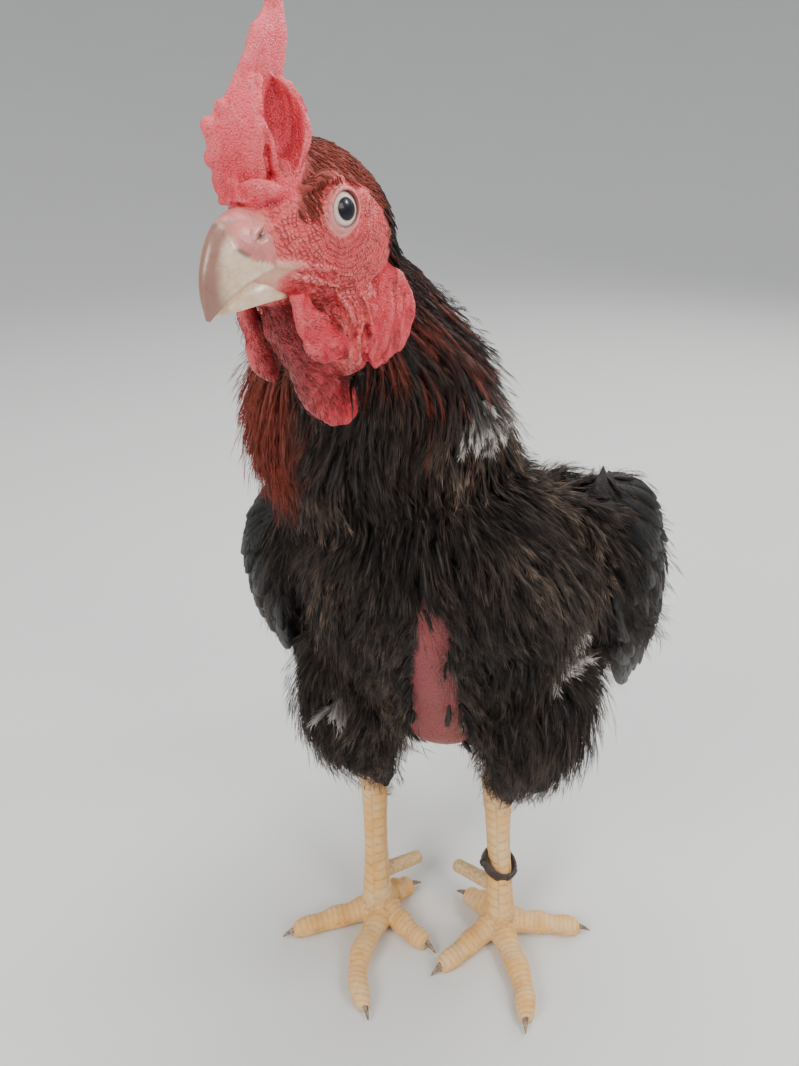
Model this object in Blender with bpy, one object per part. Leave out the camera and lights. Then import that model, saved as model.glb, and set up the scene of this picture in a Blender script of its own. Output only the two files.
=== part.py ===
"""A standing aseel cock at life size, modelled still.

The bird faces -Y, its own left is +X and Z is up. Metres throughout; the head is
measured in millimetres ahead (f), to its left (l) and up (u) from between its eyes.
Every sub-part is one closed object, and neighbours keep a gap of 0.3 mm.
"""

import math
import random

import bmesh
import bpy
from mathutils import Matrix, Vector

GAP = 0.0003
MM = 0.001
MERGE = 0.0000004
SEED = 11

# Head: place between the eyes, turn to its own right and dip of the beak
HEAD_AT = Vector((-0.040, -0.135, 0.488))
HEAD_TURN = math.radians(18.0)
HEAD_DIP = math.radians(2.0)
EYE_RADIUS = 8.6
EYE_AHEAD = -2.0
EYE_OUT = 12.9
EYE_AIM = math.radians(17.0)
LID_OUT = 5.9
LID_RADIUS = 6.7
LID_THICK = 1.3
LID_TALL = 1.12
EAR_AT = (-25.0, 20.8, -12.0)
EAR_RADIUS = 4.2
EAR_RIM = 1.4
EAR_HOLE = 2.6
THROAT_AT = (-8.0, 0.0, -36.0)
THROAT_HALF = (16.5, 19.0, 24.0)
NOSTRIL_AT = (33.0, 8.2, -4.6)
NOSTRIL_HALF = (2.6, 1.2, 1.0)
# Ridge over the eye and lip behind the bill: f, l, u and half thickness
BROW = ((15.0, 14.5, 8.5, 1.2), (1.5, 18.5, 12.0, 3.4), (-12.0, 14.5, 8.5, 1.2))
LIP = ((25.0, 11.2, -12.5, 1.9), (15.5, 14.5, -14.8, 1.4), (6.0, 17.8, -17.0, 0.8))

# Stations ahead f: centre height, half width, rise, drop in millimetres
HEAD_STATIONS = (
    (-44.0, -20.0, 6.0, 6.0, 6.0),
    (-38.0, -17.0, 17.0, 24.0, 20.0),
    (-26.0, -13.0, 22.0, 29.5, 27.0),
    (-12.0, -11.0, 21.5, 33.0, 28.0),
    (2.0, -10.0, 19.0, 31.0, 25.0),
    (14.0, -10.0, 16.0, 26.0, 20.0),
    (24.0, -9.5, 12.0, 18.0, 16.0),
    (31.0, -9.0, 8.6, 11.5, 13.0),
    (34.0, -9.0, 3.0, 4.0, 4.0),
)

# Torso: y, z, half width, rise of the back, drop of the keel
TORSO_STATIONS = (
    (-0.080, 0.352, 0.012, 0.012, 0.012),
    (-0.067, 0.339, 0.046, 0.044, 0.038),
    (-0.045, 0.318, 0.067, 0.062, 0.056),
    (-0.012, 0.286, 0.078, 0.071, 0.072),
    (0.022, 0.254, 0.077, 0.070, 0.077),
    (0.053, 0.227, 0.066, 0.062, 0.081),
    (0.083, 0.205, 0.047, 0.046, 0.058),
    (0.105, 0.190, 0.027, 0.028, 0.026),
    (0.114, 0.184, 0.008, 0.008, 0.008),
)
BACK_UP = Vector((0.0, 0.707, 0.707))

# Neck: x, y, z, half width, half depth, from the shoulders to the nape
NECK_STATIONS = (
    (-0.008, -0.005, 0.325, 0.056, 0.050),
    (-0.020, -0.024, 0.355, 0.062, 0.052),
    (-0.025, -0.040, 0.385, 0.060, 0.051),
    (-0.025, -0.060, 0.412, 0.054, 0.046),
    (-0.028, -0.080, 0.440, 0.043, 0.039),
    (-0.032, -0.097, 0.462, 0.028, 0.031),
    (-0.032, -0.104, 0.476, 0.018, 0.021),
)

# Thigh for the left side: x, y, z, half width, half depth
THIGH_STATIONS = (
    (0.046, -0.004, 0.250, 0.020, 0.030),
    (0.050, -0.004, 0.222, 0.036, 0.046),
    (0.054, 0.000, 0.190, 0.037, 0.045),
    (0.054, 0.012, 0.155, 0.033, 0.037),
    (0.050, 0.027, 0.122, 0.023, 0.025),
    (0.045, 0.036, 0.100, 0.016, 0.017),
    (0.044, 0.039, 0.092, 0.011, 0.012),
)

# Legs and feet
HOCKS = {"right": Vector((-0.053, 0.040, 0.098)), "left": Vector((0.0345, 0.042, 0.098))}
THIGH_LEAN = -0.005
SHANK_FOOT = 0.0200
SHANK_RADII = ((0.0100, 0.0108), (0.0086, 0.0094), (0.0082, 0.0090), (0.0092, 0.0100), (0.0108, 0.0116))
SCUTE_RAISE = 0.0009
SHANK_SCUTES = 8
TOE_HALF = (0.0086, 0.0060)
TOE_TOP = (0.0142, 0.0104)
CLAW_LENGTH = 0.0125
CLAW_HIGH = (0.0062, 0.0020)
CLAW_THICK = 0.0029
PAD_AT = (-0.0040, 0.0065)
PAD_HALF = (0.0135, 0.0135, 0.0095)
# Heel over the pad: shift along y, z, half width, reach behind, reach ahead
HEEL = (
    (-0.0020, 0.0050, 0.0125, 0.0115, 0.0125),
    (-0.0010, 0.0130, 0.0112, 0.0110, 0.0115),
    (0.0, SHANK_FOOT - GAP, 0.0100, 0.0108, 0.0108),
)
# Scutes on each toe and lift of its root
TOE_SCUTES = {"mid": (4, 0.0), "outer": (3, 0.0), "inner": (3, 0.0), "hallux": (2, 0.0040)}
FLOOR_BLOCK = 0.2
FEET = {
    "right": {
        "ankle": (-0.0430, -0.0015),
        "mid": ((-0.0385, -0.0130), (-0.0320, -0.0869), 0.0110),
        "outer": ((-0.0520, -0.0080), (-0.1032, -0.0365), 0.0),
        "inner": ((-0.0335, -0.0050), (0.0030, -0.0310), 0.0020),
        "hallux": ((-0.0370, 0.0070), (-0.0158, 0.0267), 0.0),
        "spur": (-0.0172, 0.0284),
    },
    "left": {
        "ankle": (0.0435, 0.0006),
        "mid": ((0.0475, -0.0130), (0.0660, -0.0778), -0.0050),
        "outer": ((0.0540, 0.0010), (0.1067, 0.0056), 0.0),
        "inner": ((0.0360, -0.0080), (0.0024, -0.0483), -0.0010),
        "hallux": ((0.0365, 0.0080), (0.0110, 0.0235), 0.0),
        "spur": (0.0093, 0.0250),
    },
}
SPUR_HEIGHT = 0.031
SPUR_THICK = (0.0052, 0.0048, 0.0044, 0.0040, 0.0034, 0.0016)
BAND_HEIGHT = 0.046
BAND_AXIS = Vector((0.20, -0.10, 1.0))
# Band in section: distance from its middle and height over it
BAND_PROFILE = ((0.0085, -0.0032), (0.0128, -0.0030), (0.0134, 0.0), (0.0128, 0.0030), (0.0085, 0.0032))

# Wings: wrist, tip, half chords and half depths along the folded wing
WING_WRIST = {"left": Vector((0.077, -0.010, 0.351)), "right": Vector((-0.083, -0.018, 0.332))}
WING_TIP = {"left": Vector((0.118, 0.092, 0.160)), "right": Vector((-0.114, 0.082, 0.168))}
WING_BOW = {"left": 0.013, "right": 0.013}
WING_OUT = Vector((0.93, -0.32, 0.10))
WING_CHORD = (0.014, 0.034, 0.043, 0.045, 0.041, 0.033, 0.021, 0.006)
WING_DEPTH = (0.006, 0.014, 0.015, 0.013, 0.010, 0.007, 0.004, 0.0012)
WING_CURL = 0.016
WING_CORE_REACH = 0.64
# Shoulder between wing and body, from the wrist: shift inwards, back and down, half width, half depth
SHOULDER_STATIONS = (
    (-0.030, -0.014, -0.014, 0.012, 0.012),
    (-0.020, 0.004, -0.026, 0.030, 0.027),
    (-0.014, 0.028, -0.054, 0.032, 0.029),
    (-0.008, 0.052, -0.092, 0.026, 0.022),
    (-0.004, 0.070, -0.122, 0.010, 0.009),
)
WING_CORE_INSET = 0.0025
# Tiers of wing feathers: count, root and tip along the wing at the leading edge, root and tip at the
# trailing edge, span across the wing from and to, half width, lift of the root, middle and tip
WING_TIERS = (
    (4, 0.50, 1.00, 0.44, 0.88, -0.78, 0.20, 0.0120, (-0.0035, -0.0012, 0.0000)),
    (5, 0.40, 0.84, 0.28, 0.70, -0.78, 0.90, 0.0135, (-0.0040, 0.0004, 0.0020)),
    (5, 0.19, 0.55, 0.15, 0.48, -0.80, 0.82, 0.0140, (-0.0045, 0.0018, 0.0042)),
    (4, 0.02, 0.33, 0.02, 0.28, -0.70, 0.72, 0.0140, (-0.0045, 0.0026, 0.0054)),
)

# Tail: root, tip and half sizes along it
TAIL_ROOT = Vector((0.0, 0.085, 0.218))
TAIL_TIP = Vector((0.0, 0.232, 0.112))
TAIL_WIDE = (0.018, 0.028, 0.032, 0.034, 0.032, 0.024, 0.008)
TAIL_DEEP = (0.014, 0.022, 0.020, 0.017, 0.013, 0.008, 0.0015)
TAIL_TENT = 0.016
TAIL_CORE_REACH = 0.50
# Tiers of tail feathers: count, root, tip at the middle, tip at the sides, span, half width, lifts
TAIL_TIERS = (
    (7, 0.24, 1.00, 0.80, 0.90, 0.0100, (-0.0040, -0.0008, 0.0000)),
    (5, 0.08, 0.64, 0.50, 0.82, 0.0105, (-0.0040, 0.0016, 0.0046)),
    (4, 0.00, 0.36, 0.28, 0.70, 0.0105, (-0.0035, 0.0034, 0.0070)),
)

# Neck hackles, row by row from the nape: count, root and tip along the neck, half width
HACKLE_ROWS = (
    (6, 0.86, 0.58, 0.0130),
    (7, 0.72, 0.38, 0.0175),
    (8, 0.50, 0.14, 0.0195),
    (8, 0.34, 0.04, 0.0185),
)
HACKLE_LIFTS = (-0.0085, -0.0010, 0.0030)
# On the bird's right they lift further and end sooner, over the wing
HACKLE_FALL = 0.0080
HACKLE_SHORT = 0.05
NECK_CORE_INSET = 0.0055
NECK_ROOM = (-0.0065, 0.0120, 0.0070)
HACKLE_ROLL = math.radians(7.0)
FLIGHT_ROLL = math.radians(9.0)
FEATHER_THICK = 0.0007
FLIGHT_SHAPE = (0.55, 1.00, 0.82)
HACKLE_SHAPE = (0.75, 1.00, 0.58)
VANE_STEPS = (0.0, 0.45, 0.85)


def clear_scene():
    for thing in list(bpy.data.objects):
        bpy.data.objects.remove(thing, do_unlink=True)


def material(name, colour, roughness, metallic=0.0):
    made = bpy.data.materials.new(name)
    made.use_nodes = True
    shader = made.node_tree.nodes["Principled BSDF"]
    shader.inputs["Base Color"].default_value = (*colour, 1.0)
    shader.inputs["Roughness"].default_value = roughness
    shader.inputs["Metallic"].default_value = metallic
    made.diffuse_color = (*colour, 1.0)
    return made


def collection(name):
    made = bpy.data.collections.new(name)
    bpy.context.scene.collection.children.link(made)
    return made


def along(rows, t):
    """Values at t, from 0 to 1, on a smooth curve through evenly spaced rows."""
    last = len(rows) - 1
    place = min(max(t, 0.0), 1.0) * last
    i = min(int(place), last - 1)
    f = place - i
    a, b, c, d = (rows[min(max(j, 0), last)] for j in (i - 1, i, i + 1, i + 2))
    return [
        0.5 * (2 * q + (r - p) * f + (2 * p - 5 * q + 4 * r - s) * f * f + (3 * q - p - 3 * r + s) * f**3)
        for p, q, r, s in zip(a, b, c, d)
    ]


def values(numbers, t):
    """One number at t on a smooth curve through evenly spaced numbers."""
    return along([(n,) for n in numbers], t)[0]


def section(at, side, up, wide, rise, drop, count):
    """Points round one oval cross section that rises and drops by its own amounts."""
    points = []
    for k in range(count):
        turn = 2.0 * math.pi * k / count
        lift = math.sin(turn)
        points.append(at + side * (wide * math.cos(turn)) + up * ((rise if lift > 0 else drop) * lift))
    return points


def loft(name, rings):
    """One closed mesh through rings of equal count, with a fan over each end."""
    mesh = bpy.data.meshes.new(name)
    bm = bmesh.new()
    rows = [[bm.verts.new(p) for p in points] for points in rings]
    count = len(rows[0])
    for low, high in zip(rows, rows[1:]):
        for k in range(count):
            n = (k + 1) % count
            bm.faces.new((low[k], low[n], high[n]))
            bm.faces.new((low[k], high[n], high[k]))
    for row in (rows[0], rows[-1]):
        centre = bm.verts.new(sum((v.co for v in row), Vector()) / count)
        for k in range(count):
            bm.faces.new((row[k], row[(k + 1) % count], centre))
    face_out(bm)
    bm.to_mesh(mesh)
    bm.free()
    return bpy.data.objects.new(name, mesh)


def face_out(bm):
    bmesh.ops.recalc_face_normals(bm, faces=bm.faces)
    if bm.calc_volume(signed=True) < 0:
        bmesh.ops.reverse_faces(bm, faces=bm.faces)


def ball(name, at, radii, detail):
    """An ellipsoid from a sphere primitive."""
    mesh = bpy.data.meshes.new(name)
    bm = bmesh.new()
    bmesh.ops.create_uvsphere(bm, u_segments=detail[0], v_segments=detail[1], radius=1.0)
    place = Matrix.Translation(at) @ Matrix.Diagonal((*radii, 1.0))
    bmesh.ops.transform(bm, matrix=place, verts=bm.verts)
    bmesh.ops.triangulate(bm, faces=bm.faces)
    face_out(bm)
    bm.to_mesh(mesh)
    bm.free()
    return bpy.data.objects.new(name, mesh)


def ring_tube(name, centre, axis, radius, thick, around, sides, tall):
    """A torus lying square to the axis; tall makes it oval up and down."""
    first = axis.cross(Vector((0.0, 0.0, 1.0))).normalized()
    second = first.cross(axis).normalized()
    mesh = bpy.data.meshes.new(name)
    bm = bmesh.new()
    rows = []
    for k in range(around):
        turn = 2.0 * math.pi * k / around
        out = first * math.cos(turn) + second * (math.sin(turn) * tall)
        middle = centre + out * radius
        rows.append([
            bm.verts.new(middle + out.normalized() * (thick * math.cos(a)) + axis * (thick * math.sin(a)))
            for a in (2.0 * math.pi * j / sides for j in range(sides))
        ])
    for k in range(around):
        low, high = rows[k], rows[(k + 1) % around]
        for j in range(sides):
            n = (j + 1) % sides
            bm.faces.new((low[j], low[n], high[n]))
            bm.faces.new((low[j], high[n], high[j]))
    face_out(bm)
    bm.to_mesh(mesh)
    bm.free()
    return bpy.data.objects.new(name, mesh)


def swollen(source, amount=GAP):
    """A copy of a smooth closed piece, grown along its normals, for cutting with."""
    mesh = source.data.copy()
    bm = bmesh.new()
    bm.from_mesh(mesh)
    bm.normal_update()
    moves = [(v, v.normal * (amount * min(v.calc_shell_factor(), 2.0))) for v in bm.verts]
    for v, move in moves:
        v.co += move
    bm.to_mesh(mesh)
    bm.free()
    return bpy.data.objects.new(source.name + "_cutter", mesh)


def applied(thing):
    """Bake the object's modifiers into a fresh mesh."""
    graph = bpy.context.evaluated_depsgraph_get()
    mesh = bpy.data.meshes.new_from_object(thing.evaluated_get(graph), depsgraph=graph)
    thing.modifiers.clear()
    thing.data = mesh


def keep_largest(thing):
    """Keep only the largest closed surface, without slivers."""
    bm = bmesh.new()
    bm.from_mesh(thing.data)
    bmesh.ops.remove_doubles(bm, verts=bm.verts, dist=MERGE)
    bmesh.ops.dissolve_degenerate(bm, dist=MERGE, edges=bm.edges)
    bmesh.ops.triangulate(bm, faces=bm.faces)
    left = set(bm.faces)
    islands = []
    while left:
        island = {left.pop()}
        edge = list(island)
        while edge:
            for line in edge.pop().edges:
                for face in line.link_faces:
                    if face in left:
                        left.remove(face)
                        island.add(face)
                        edge.append(face)
        islands.append(island)
    largest = max(islands, key=lambda faces: sum(f.calc_area() for f in faces))
    bmesh.ops.delete(bm, geom=[f for f in bm.faces if f not in largest], context="FACES")
    bmesh.ops.delete(bm, geom=[v for v in bm.verts if not v.link_faces], context="VERTS")
    bm.to_mesh(thing.data)
    bm.free()


def finish(name, pieces, cutters, finish_of, solver="MANIFOLD"):
    """Join the pieces, cut them clear of the cutters and file the node."""
    body = pieces[0]
    MODEL.objects.link(body)
    joined = collection("joined")
    for piece in pieces[1:]:
        joined.objects.link(piece)
    if pieces[1:]:
        union = body.modifiers.new("join", "BOOLEAN")
        union.operation = "UNION"
        union.operand_type = "COLLECTION"
        union.collection = joined
        union.solver = solver
        applied(body)
    for piece in list(joined.objects):
        bpy.data.objects.remove(piece, do_unlink=True)
    bpy.data.collections.remove(joined)
    for cutter in cutters:
        CUTTERS.objects.link(cutter)
        cutter.hide_render = True
        cutter.display_type = "WIRE"
        cut = body.modifiers.new("cut", "BOOLEAN")
        cut.operation = "DIFFERENCE"
        cut.object = cutter
        cut.solver = solver
        applied(body)
        bpy.data.objects.remove(cutter, do_unlink=True)
    keep_largest(body)
    body.name = name
    body.data.name = name
    body.data.materials.clear()
    body.data.materials.append(finish_of)
    body.data.shade_smooth()
    body.data.set_sharp_from_angle(angle=math.radians(40.0))
    return body


def head_axes():
    ahead = Vector((
        -math.sin(HEAD_TURN) * math.cos(HEAD_DIP),
        -math.cos(HEAD_TURN) * math.cos(HEAD_DIP),
        -math.sin(HEAD_DIP),
    ))
    left = Vector((math.cos(HEAD_TURN), -math.sin(HEAD_TURN), 0.0))
    return ahead, left, ahead.cross(left)


def head(f, l, u):
    """A place on the head from millimetres ahead, left and up."""
    ahead, left, up = head_axes()
    return HEAD_AT + (ahead * f + left * l + up * u) * MM


def head_core():
    ahead, left, up = head_axes()
    rings = []
    steps = 11
    for i in range(steps + 1):
        f, u, wide, rise, drop = along(HEAD_STATIONS, i / steps)
        rings.append(section(head(f, 0.0, u), left, up, wide * MM, rise * MM, drop * MM, 14))
    return loft("head_core", rings)


def eye_aim(side):
    ahead, left, up = head_axes()
    return (left * (side * math.cos(EYE_AIM)) + ahead * math.sin(EYE_AIM)).normalized()


def eye_centre(side):
    return head(EYE_AHEAD, side * EYE_OUT, 0.0)


def eyeball(side):
    return ball("eyeball", eye_centre(side), (EYE_RADIUS * MM,) * 3, (12, 8))


def lids(side):
    centre = eye_centre(side) + eye_aim(side) * LID_OUT * MM
    return ring_tube("lids", centre, eye_aim(side), LID_RADIUS * MM, LID_THICK * MM, 12, 4, LID_TALL)


def ridge(name, rows, side, steps, count):
    """A round ridge on the head from rows of f, l, u and half thickness."""
    ahead, left, up = head_axes()
    rings = []
    for i in range(steps + 1):
        f, l, u, thick = along(rows, i / steps)
        rings.append(section(head(f, side * l, u), left, up, thick * MM, thick * MM, thick * MM, count))
    return loft(name, rings)


def brow(side):
    """The heavy ridge over the eye."""
    return ridge("brow", BROW, side, 5, 6)


def mouth_fold(side):
    """The soft lip that runs back from the corner of the bill."""
    return ridge("mouth_fold", LIP, side, 4, 5)


def ear_cup(side):
    """The raised rim round the ear opening."""
    f, l, u = EAR_AT
    centre = head(f, side * l, u)
    aim = (head(f, side * (l + 10.0), u) - centre).normalized()
    return ring_tube("ear_cup", centre, aim, EAR_RADIUS * MM, EAR_RIM * MM, 8, 4, 1.0)


def throat():
    """The pouch of bare skin from the jaw down between the earlobes."""
    return ball("throat", head(*THROAT_AT), Vector(THROAT_HALF) * MM, (12, 7))


def ear_hole(side):
    f, l, u = EAR_AT
    return ball("ear_hole", head(f, side * (l + EAR_RIM), u), (EAR_HOLE * MM,) * 3, (6, 4))


def bill_ring(crown, edge, wide, rows):
    """Half an oval over a flat floor: the crown line above, the cutting edge at each side."""
    ahead, left, up = head_axes()
    points = []
    for k in range(rows + 1):
        turn = math.pi * k / rows - math.pi / 2.0
        middle = edge.lerp(crown, math.cos(turn))
        points.append(middle + left * (wide * math.sin(turn)))
    return points


# Upper bill: f and u of the crown line, f and u of the cutting edge, half width
BILL_UPPER = (
    (26.0, 5.0, 23.0, -12.6, 10.2),
    (32.0, 4.6, 27.5, -13.4, 9.6),
    (38.5, 2.2, 33.0, -14.8, 8.4),
    (44.0, -2.8, 38.5, -16.8, 6.8),
    (47.8, -9.6, 43.0, -19.4, 4.9),
    (49.6, -17.0, 46.2, -22.6, 2.8),
    (49.4, -25.0, 48.2, -25.6, 0.5),
)
# Lower bill: f and u of the cutting edge, f and u of the chin line, half width
BILL_LOWER = (
    (20.0, -13.6, 19.0, -26.0, 9.4),
    (27.0, -14.4, 25.5, -27.0, 8.6),
    (33.0, -15.8, 32.0, -27.4, 7.4),
    (38.0, -18.0, 37.8, -27.0, 5.8),
    (42.0, -20.6, 42.2, -26.0, 3.8),
    (44.6, -23.6, 44.8, -25.0, 1.0),
)


def bill(name, rows, steps, shift):
    rings = []
    for i in range(steps + 1):
        cf, cu, ef, eu, wide = along(rows, i / steps)
        rings.append(bill_ring(head(cf, 0.0, cu + shift), head(ef, 0.0, eu + shift), wide * MM, 8))
    return loft(name, rings)


def lobe(name, rows, steps=7, count=10, turn=0.0):
    """A hanging fold from rows of f, l, u, half length and half thickness, in millimetres."""
    ahead, left, up = head_axes()
    long_way = ahead * math.cos(turn) + left * math.sin(turn)
    thin_way = up.cross(long_way)
    rings = []
    for i in range(steps + 1):
        f, l, u, half, thick = along(rows, i / steps)
        rings.append(section(head(f, l, u), long_way, thin_way, half * MM, thick * MM, thick * MM, count))
    return loft(name, rings)


COMB_BLADE = (
    (16.0, 0.0, 8.0, 18.5, 9.5),
    (15.5, 0.0, 14.0, 17.0, 7.0),
    (12.5, 0.0, 24.0, 12.5, 5.2),
    (10.5, 0.0, 34.0, 11.5, 4.5),
    (9.0, 0.0, 44.0, 10.5, 3.8),
    (6.0, 0.0, 52.5, 7.5, 3.0),
    (2.8, 0.0, 57.5, 4.2, 2.4),
    (2.6, 0.0, 64.0, 3.2, 1.9),
    (2.2, 0.0, 71.0, 1.0, 0.8),
)
COMB_LEFT = (
    (10.0, 7.0, 8.0, 5.0, 4.0),
    (7.5, 7.5, 15.0, 4.0, 3.2),
    (4.0, 8.0, 22.0, 3.6, 2.8),
    (3.2, 8.0, 29.0, 3.6, 2.8),
    (6.0, 5.0, 35.0, 3.4, 2.6),
    (8.0, 1.0, 38.0, 2.0, 1.6),
)
COMB_RIGHT = (
    (24.0, -5.0, 9.0, 6.0, 5.0),
    (24.0, -6.0, 15.0, 5.0, 3.6),
    (24.5, -7.0, 21.0, 4.6, 3.0),
    (25.0, -7.5, 26.0, 3.4, 2.4),
    (25.0, -8.5, 29.5, 1.0, 0.8),
)
WATTLE_LEFT = (
    (19.0, 12.5, -21.0, 3.0, 2.0),
    (15.0, 15.0, -29.0, 4.5, 3.4),
    (10.0, 16.0, -38.0, 5.5, 3.8),
    (5.0, 15.0, -46.0, 5.5, 3.6),
    (2.0, 13.0, -52.0, 2.0, 1.4),
)
WATTLE_RIGHT = (
    (19.0, -11.5, -21.0, 4.0, 2.0),
    (16.5, -14.0, -30.0, 6.5, 2.8),
    (13.0, -15.5, -40.0, 8.0, 3.0),
    (8.0, -15.0, -49.0, 7.5, 3.0),
    (3.0, -14.0, -57.0, 2.5, 1.4),
)
DEWLAP = (
    (4.0, 1.0, -30.0, 14.0, 6.0),
    (2.0, 1.2, -40.0, 15.5, 6.0),
    (-3.5, 2.0, -50.0, 15.5, 6.0),
    (-8.0, 2.0, -59.0, 15.5, 5.6),
    (-12.5, 2.5, -67.0, 16.0, 5.0),
    (-17.5, 3.0, -74.0, 14.5, 4.4),
    (-22.0, 3.0, -79.5, 9.5, 3.0),
    (-23.0, 3.0, -82.5, 2.0, 0.8),
)
EARLOBE = (
    (-30.0, 18.0, -20.0, 5.0, 3.0),
    (-31.0, 21.5, -28.0, 11.0, 3.6),
    (-30.0, 24.0, -38.0, 15.5, 3.8),
    (-27.0, 25.0, -48.0, 14.5, 3.8),
    (-23.0, 24.0, -56.0, 9.0, 3.0),
    (-21.0, 22.5, -61.0, 2.0, 1.2),
)


def torso_core():
    rings = []
    steps = 12
    for i in range(steps + 1):
        y, z, wide, rise, drop = along(TORSO_STATIONS, i / steps)
        rings.append(section(Vector((0.0, y, z)), Vector((1.0, 0.0, 0.0)), BACK_UP, wide, rise, drop, 18))
    return loft("torso_core", rings)


def path_frame(rows, t):
    """Middle, side, up, half width and half depth of a path at t."""
    here = along(rows, t)
    way = Vector(along(rows, t + 0.02)[:3]) - Vector(along(rows, t - 0.02)[:3])
    up = Vector((1.0, 0.0, 0.0)).cross(way).normalized()
    return Vector(here[:3]), way.cross(up).normalized(), up, here[3], here[4]


def path_loft(name, rows, steps, count):
    """A loft whose sections stand square to a path of x, y, z, half width, half depth."""
    rings = []
    for i in range(steps + 1):
        middle, side, up, wide, deep = path_frame(rows, i / steps)
        rings.append(section(middle, side, up, wide, deep, deep, count))
    return loft(name, rings)


def outward(place, a, b, inside):
    """The surface normal of place(a, b), pointing away from a point inside."""
    step = 0.01
    first, second = place(a + step, b) - place(a - step, b), place(a, b + step) - place(a, b - step)
    normal = first.cross(second).normalized()
    return normal if normal.dot(place(a, b) - inside) > 0.0 else -normal


def vane(place, inside, start, end, lifts, half, shape, roll):
    """A feather laid over the surface place(a, b), from start to end, thin and tapering to a tip.

    Lifts raise its root, middle and tip over the surface, and roll tucks one edge under."""
    spots = []
    for f in (*VANE_STEPS, 1.0):
        a = start[0] + (end[0] - start[0]) * f
        b = start[1] + (end[1] - start[1]) * f
        face = outward(place, a, b, inside)
        spots.append((place(a, b) + face * values(lifts, f), face))
    bm = bmesh.new()
    rows = []
    for i, f in enumerate(VANE_STEPS):
        at, face = spots[i]
        way = (spots[i + 1][0] - at).normalized()
        side = way.cross(face).normalized()
        face = side.cross(way)
        turned = Matrix.Rotation(-roll, 3, way)
        side, face = turned @ side, turned @ face
        wide = half * shape[i]
        thick = FEATHER_THICK * (1.25 - 0.75 * f)
        corners = (at - side * wide, at + face * thick, at + side * wide, at - face * thick)
        rows.append([bm.verts.new(p) for p in corners])
    for low, high in zip(rows, rows[1:]):
        for edge in (0, 2):
            for middle in (1, 3):
                bm.faces.new((low[edge], low[middle], high[middle]))
                bm.faces.new((low[edge], high[middle], high[edge]))
    tip = bm.verts.new(spots[-1][0])
    root, last = rows[0], rows[-1]
    for k in range(4):
        bm.faces.new((last[k], last[(k + 1) % 4], tip))
    bm.faces.new((root[0], root[1], root[3]))
    bm.faces.new((root[2], root[1], root[3]))
    face_out(bm)
    mesh = bpy.data.meshes.new("vane")
    bm.to_mesh(mesh)
    bm.free()
    return bpy.data.objects.new("vane", mesh)


def shank_place(side, t):
    """The middle of the shank, from the foot at 0 to the hock at 1."""
    foot = Vector((*FEET[side]["ankle"], SHANK_FOOT))
    return foot.lerp(HOCKS[side], t)


def shank_ring(side, t, grow):
    wide, deep = (half + grow for half in along(SHANK_RADII, t))
    across, ahead = Vector((1.0, 0.0, 0.0)), Vector((0.0, 1.0, 0.0))
    return section(shank_place(side, t), across, ahead, wide, deep, deep, 10)


def shank_core(side, grow=0.0):
    return loft("shank_core", [shank_ring(side, i / 6, grow) for i in range(7)])


def shank_scuted(side):
    """The shank with its broad front scutes raised in steps."""
    rings = [shank_ring(side, 0.0, 0.0)]
    for i in range(SHANK_SCUTES):
        low = (i + 0.08) / SHANK_SCUTES
        high = (i + 0.95) / SHANK_SCUTES
        rings.append(shank_ring(side, low, SCUTE_RAISE))
        rings.append(shank_ring(side, high, SCUTE_RAISE * 0.15))
    rings.append(shank_ring(side, 1.0, 0.0))
    return loft("shank", rings)


def toe_ring(at, side, half, top, raised, count=7):
    """A section with a flat sole at the floor."""
    points = []
    for k in range(count):
        turn = 2.0 * math.pi * k / count + math.pi / count
        z = top * 0.5 + (top * 0.56 + raised) * math.sin(turn)
        points.append(Vector((at.x, at.y, max(z, -0.0006))) + side * ((half + raised) * math.cos(turn)))
    return points


def toe(base, tip, bow, scutes, lift):
    """A toe with a few broad scutes, bowed sideways, ending where the claw begins."""
    start = Vector((*base, 0.0))
    end = Vector((*tip, 0.0))
    way = (end - start).normalized()
    side = Vector((way.y, -way.x, 0.0))
    reach = (end - start).length
    length = reach - CLAW_LENGTH * 0.72
    rings = []
    for i in range(scutes):
        for part, raised in ((0.06, SCUTE_RAISE), (0.94, 0.0)):
            t = (i + part) / scutes
            swell = 1.0 + 0.07 * math.cos(2.0 * math.pi * t * 2.5)
            half = (TOE_HALF[0] + (TOE_HALF[1] - TOE_HALF[0]) * t) * swell
            top = (TOE_TOP[0] + (TOE_TOP[1] - TOE_TOP[0]) * t) * swell + lift * (1.0 - t)
            sway = side * (bow * math.sin(math.pi * length * t / reach))
            rings.append(toe_ring(start + way * (length * t) + sway, side, half, top, raised))
    last = start + way * (length + 0.0022) + side * (bow * 0.35)
    rings.append(toe_ring(last, side, TOE_HALF[1] * 0.62, TOE_TOP[1] * 0.86, 0.0))
    return loft("toe", rings)


def foot_pieces(side):
    spec = FEET[side]
    x, y = spec["ankle"]
    pad = ball("pad", Vector((x, y + PAD_AT[0], PAD_AT[1])), PAD_HALF, (10, 5))
    across, ahead = Vector((1.0, 0.0, 0.0)), Vector((0.0, 1.0, 0.0))
    heel = loft("heel", [
        section(Vector((x, y + shift, z)), across, ahead, wide, back, front, 10)
        for shift, z, wide, back, front in HEEL
    ])
    toes = [toe(*spec[name], scutes, lift) for name, (scutes, lift) in TOE_SCUTES.items()]
    return [pad, heel, *toes]


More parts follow.
